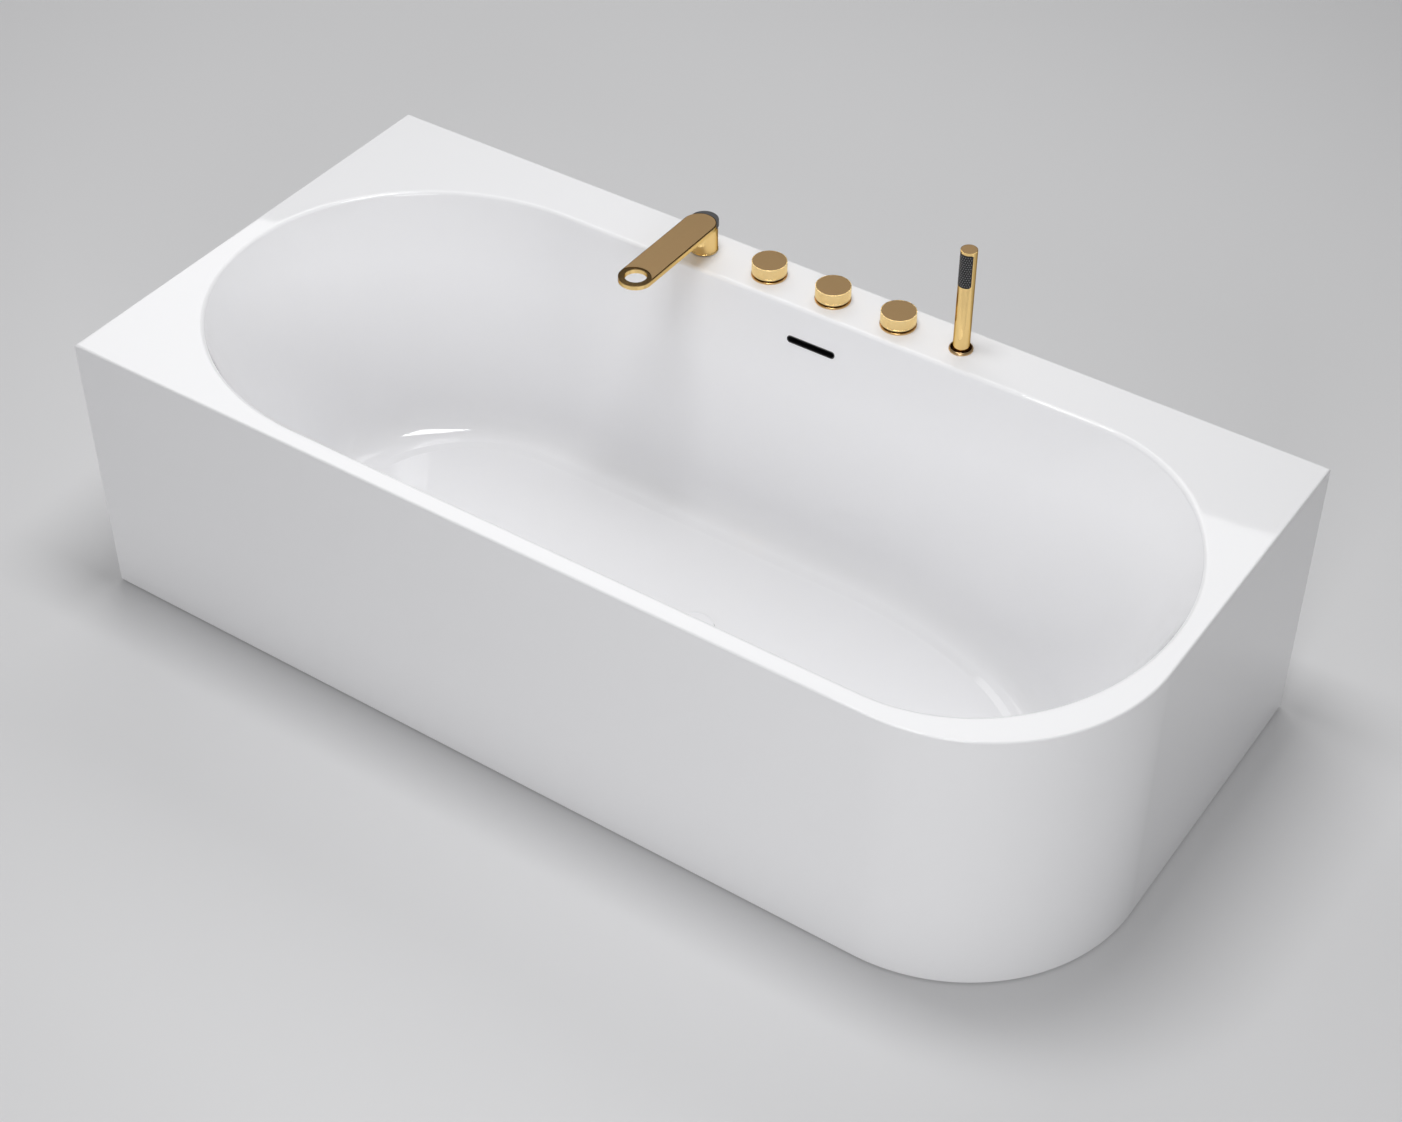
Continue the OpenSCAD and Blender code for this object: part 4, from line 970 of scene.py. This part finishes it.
class BATH_OT_hand_shower(bpy.types.Operator):
    """Turns the hand shower and its socket, and sets the black jet panel into the handle"""
    bl_idname = "bath.hand_shower"
    bl_label = "Hand shower"

    def execute(self, context):
        radius = context.scene.bath_fittings.stick / 2
        axis = node_axis("shower_handle")
        deck = node_high("bath_shell")
        self.handle(axis, radius, deck + 1 * MM)
        self.socket(axis, radius, deck)
        self.jets(axis, radius)
        return {"FINISHED"}

    def handle(self, axis, radius, seat):
        """Stick with its threaded tail, rounded at its seat, and the inlay on its top."""
        low, high = node_levels("shower_handle")
        cap = radius - 0.6 * MM
        tail = 10.48 * MM
        handle = turned("shower_stick", axis, [
            (7 * MM, low), (tail, low), (tail, seat),
            *near(radius, seat, (-1.4, 0), (-0.8, 0.2), (-0.3, 0.9), (-0.05, 1.6), (0, 2.4)),
            *near(radius, high, (0, -0.45), (-0.12, -0.12), (-0.45, 0)),
            *near(cap, high, (0, 0), (0, -0.9))])
        self.recess(handle, axis, radius)
        place(handle, "hand_shower", "polished_gold", "Polished gold", "shower_handle")
        inlay = turned("shower_inlay", axis, near(
            cap, high, (-0.12, -0.9), (-0.12, -0.2), (-0.32, 0), (-1.5, 0)))
        place(inlay, "hand_shower", "dull_gold", "Dull gold", "shower_top_disc")

    def recess(self, handle, axis, radius):
        """Opens the handle round the jet panel."""
        low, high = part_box("spray_panel")
        gap = 0.25 * MM
        half = (high.x - low.x) / 2 + gap
        cutter = block("panel_cutter",
                       (axis[0] - half, axis[1] - radius - 10 * MM, low.z - gap),
                       (axis[0] + half, axis[1] - radius + 6.3 * MM, high.z + gap))
        pick("EDGE", lambda e: abs(e.verts[0].co.y - e.verts[1].co.y) > 5 * MM)
        bpy.ops.mesh.bevel(offset=3.2 * MM, segments=6, affect="EDGES")
        combine(handle, cutter)

    def socket(self, axis, radius, deck):
        """Ring on the deck with its sleeve, and the dish inside it, coloured near black as a
        painted dark reflection.
        """
        flange, low, top = round_node("shower_socket")[1:]
        sleeve, bore = 12.6 * MM, 10.9 * MM
        mouth = radius + 3.6 * MM
        floor = deck + 0.4 * MM
        ring = turned("shower_collar", axis, [
            (bore, low), (sleeve, low), (sleeve, deck - 0.1 * MM),
            *near(flange, deck, (-0.2, 0), (0, 0.2), (0, 1.6), (-0.2, 2.5)),
            *near(flange, top, (-1, -0.6)), *near(mouth, top, (0.3, 0), (0, -0.2)),
            (mouth, floor), (bore, floor)], hollow=True)
        # The ring's darker gold is a painted dark reflection.
        place(ring, "bath", "polished_gold", "Socket gold painted dark reflection", "shower_socket", angle=35)
        mouth, floor, bore = mouth - 0.05 * MM, floor + 0.05 * MM, bore + 0.05 * MM
        seat = deck + 1 * MM
        dish = turned("shower_dish", axis, [
            (mouth, floor), (mouth, top - 0.3 * MM), (radius + 0.3 * MM, seat),
            (bore, seat), (bore, floor)], hollow=True)
        # The dish's near-black gold is a painted dark reflection.
        place(dish, "bath", "polished_gold", "Dish gold painted dark reflection", "shower_socket", angle=35)

    def jets(self, axis, radius):
        """Rounds the tips of the rubber jets: one tip, copied row by row round the handle."""
        low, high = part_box("spray_panel")
        rows, columns, pitch, margin = 14, 7, math.radians(16), 3.6 * MM
        rise = (high.z - low.z - 2 * margin) / (rows - 1)
        first = (axis[0], axis[1] - radius - 0.35 * MM, low.z + margin)
        at_rest()
        bpy.ops.mesh.primitive_uv_sphere_add(
            segments=8, ring_count=6, radius=0.95 * MM, location=first)
        tips = begin("jet_tips")
        bpy.ops.transform.resize(value=(1, 0.4, 1), center_override=first)
        at, height = 0.0, 0.0
        for row in range(rows):
            for column in range(columns - row % 2):
                angle = (column - 3 + (row % 2) / 2) * pitch
                if row or column:
                    bpy.ops.mesh.duplicate()
                bpy.ops.transform.rotate(value=at - angle, orient_axis="Z",
                                         center_override=(*axis, 0))
                bpy.ops.transform.translate(value=(0, 0, row * rise - height))
                at, height = angle, row * rise
        # The tips' grey colour is a painted highlight.
        place(tips, "hand_shower", "black_rubber", "Jet rubber painted highlight", angle=60)


class BATH_OT_frame(bpy.types.Operator):
    """Gives the frame, the feet, the brackets, the drain and the hidden brass their finishes"""
    bl_idname = "bath.frame"
    bl_label = "Frame and drain"

    hidden = {
        "Galvanised steel": ("cross_bars", "front_rail", "rear_posts", "rear_rails",
                             "wall_brackets", "foot_nuts"),
        "Threaded steel": ("foot_studs",),
        "Particle board": ("floor_board",),
        "Plain rubber": ("post_pads", "foot_pads", "plug_seal", "waste_seals",
                         "overflow_gasket", "spout_gasket", "spout_washer", "spout_seals",
                         "tap_washers", "socket_washer"),
        "Drain plastic": ("waste_body", "waste_link", "trap_body", "outlet_pipe",
                          "overflow_pipe", "skirt_spacers"),
        "Dark plastic": ("trap_lid", "overflow_head", "flow_insert"),
        "Black rubber": ("spray_panel",),
        "Raw brass": ("spout_shank", "spout_nut", "hot_spindle", "cold_spindle",
                      "diverter_spindle", "hot_valve_body", "cold_valve_body",
                      "diverter_body", "socket_nut"),
    }

    def execute(self, context):
        for name, nodes in self.hidden.items():
            for node in nodes:
                slots = frame["nodes"][node].data.materials
                slots.clear()
                slots.append(finish(name))
        return {"FINISHED"}


class BATH_OT_stage(bpy.types.Operator):
    """Sets the floor, the sky, the lamps and the camera"""
    bl_idname = "bath.stage"
    bl_label = "Stage"

    def execute(self, context):
        stage = context.scene.bath_stage
        self.floor(stage)
        self.sky(context, stage)
        self.lamp("Right lamp", (1.8, -3.4, 1.8), (0, 0, 0.3), (1.4, 1.4), stage.right_lamp)
        self.lamp("Back lamp", (-1.7, 2.1, 3.2), (-1.45, 0, 0.1), (4.2, 1.4), stage.back_lamp)
        self.lamp("Top lamp", (0, 0, 3.4), (0, 0, 0), (1.3, 0.7), stage.top_lamp)
        self.camera(context, stage)
        context.scene.view_settings.view_transform = "Standard"
        return {"FINISHED"}

    def floor(self, stage):
        """Plain pale floor."""
        at_rest()
        bpy.ops.mesh.primitive_plane_add(size=stage.floor_width)
        floor = begin("floor")
        at_rest()
        floor.data.materials.append(material(
            "Floor", stage.floor, 0.75, 0.01, 0.02, 0.8, grain=(0.0001, 120.0)))

    def sky(self, context, stage):
        """Even light from all round."""
        world = bpy.data.worlds.new("Studio")
        context.scene.world = world
        world.use_nodes = True
        feed(world.node_tree, world.node_tree.nodes["Background"],
             {"Color": (1, 1, 1, 1), "Strength": stage.sky})

    def lamp(self, name, at, towards, size, watts):
        """A rectangular lamp that faces a point."""
        at_rest()
        bpy.ops.object.light_add(type="AREA", location=at)
        lamp = bpy.context.object
        lamp.name = name
        lamp.data.shape = "RECTANGLE"
        lamp.data.size, lamp.data.size_y = size
        lamp.data.energy = watts
        facing = Vector(towards) - Vector(at)
        lamp.rotation_euler = facing.to_track_quat("-Z", "Y").to_euler()

    def camera(self, context, stage):
        """Camera at the photograph's viewing angle."""
        back = Vector((math.sin(stage.azimuth) * math.cos(stage.elevation),
                       -math.cos(stage.azimuth) * math.cos(stage.elevation),
                       math.sin(stage.elevation)))
        at_rest()
        bpy.ops.object.camera_add(location=Vector(stage.target) + back * stage.distance)
        camera = bpy.context.object
        camera.name = "Camera"
        camera.rotation_euler = (-back).to_track_quat("-Z", "Y").to_euler()
        camera.data.lens = stage.lens
        camera.data.sensor_width = stage.sensor
        camera.data.clip_start = 0.05
        camera.data.clip_end = 100
        context.scene.camera = camera


class BATH_PT_panel(bpy.types.Panel):
    """Sidebar panel with the sizes and the steps"""
    bl_idname = "BATH_PT_panel"
    bl_label = "Bathtub"
    bl_space_type = "VIEW_3D"
    bl_region_type = "UI"
    bl_category = "Bathtub"

    def draw(self, context):
        column = self.layout.column()
        for step in STEPS:
            column.operator(step.bl_idname)
        for owner in SETTINGS:
            holder = getattr(context.scene, owner)
            for key in holder.__annotations__:
                column.prop(holder, key)


SETTINGS = {"bath_sizes": BathSizes, "bath_fittings": FittingSizes,
            "bath_finishes": Finishes, "bath_stage": StageSettings}
STEPS = (BATH_OT_shell, BATH_OT_skirt, BATH_OT_overflow, BATH_OT_waste, BATH_OT_knobs,
         BATH_OT_spout, BATH_OT_hand_shower, BATH_OT_frame, BATH_OT_stage)
CLASSES = (*SETTINGS.values(), *STEPS, BATH_PT_panel)


def register():
    for cls in CLASSES:
        bpy.utils.register_class(cls)
    for owner, kind in SETTINGS.items():
        setattr(bpy.types.Scene, owner, bpy.props.PointerProperty(type=kind))


def unregister():
    for owner in SETTINGS:
        delattr(bpy.types.Scene, owner)
    for cls in reversed(CLASSES):
        bpy.utils.unregister_class(cls)


def main():
    """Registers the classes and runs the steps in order."""
    register()
    bpy.ops.bath.stage()
    bpy.ops.bath.shell()
    bpy.ops.bath.skirt()
    bpy.ops.bath.overflow()
    bpy.ops.bath.waste()
    bpy.ops.bath.knobs()
    bpy.ops.bath.spout()
    bpy.ops.bath.hand_shower()
    bpy.ops.bath.frame()
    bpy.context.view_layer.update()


if __name__ == "__main__":
    main()
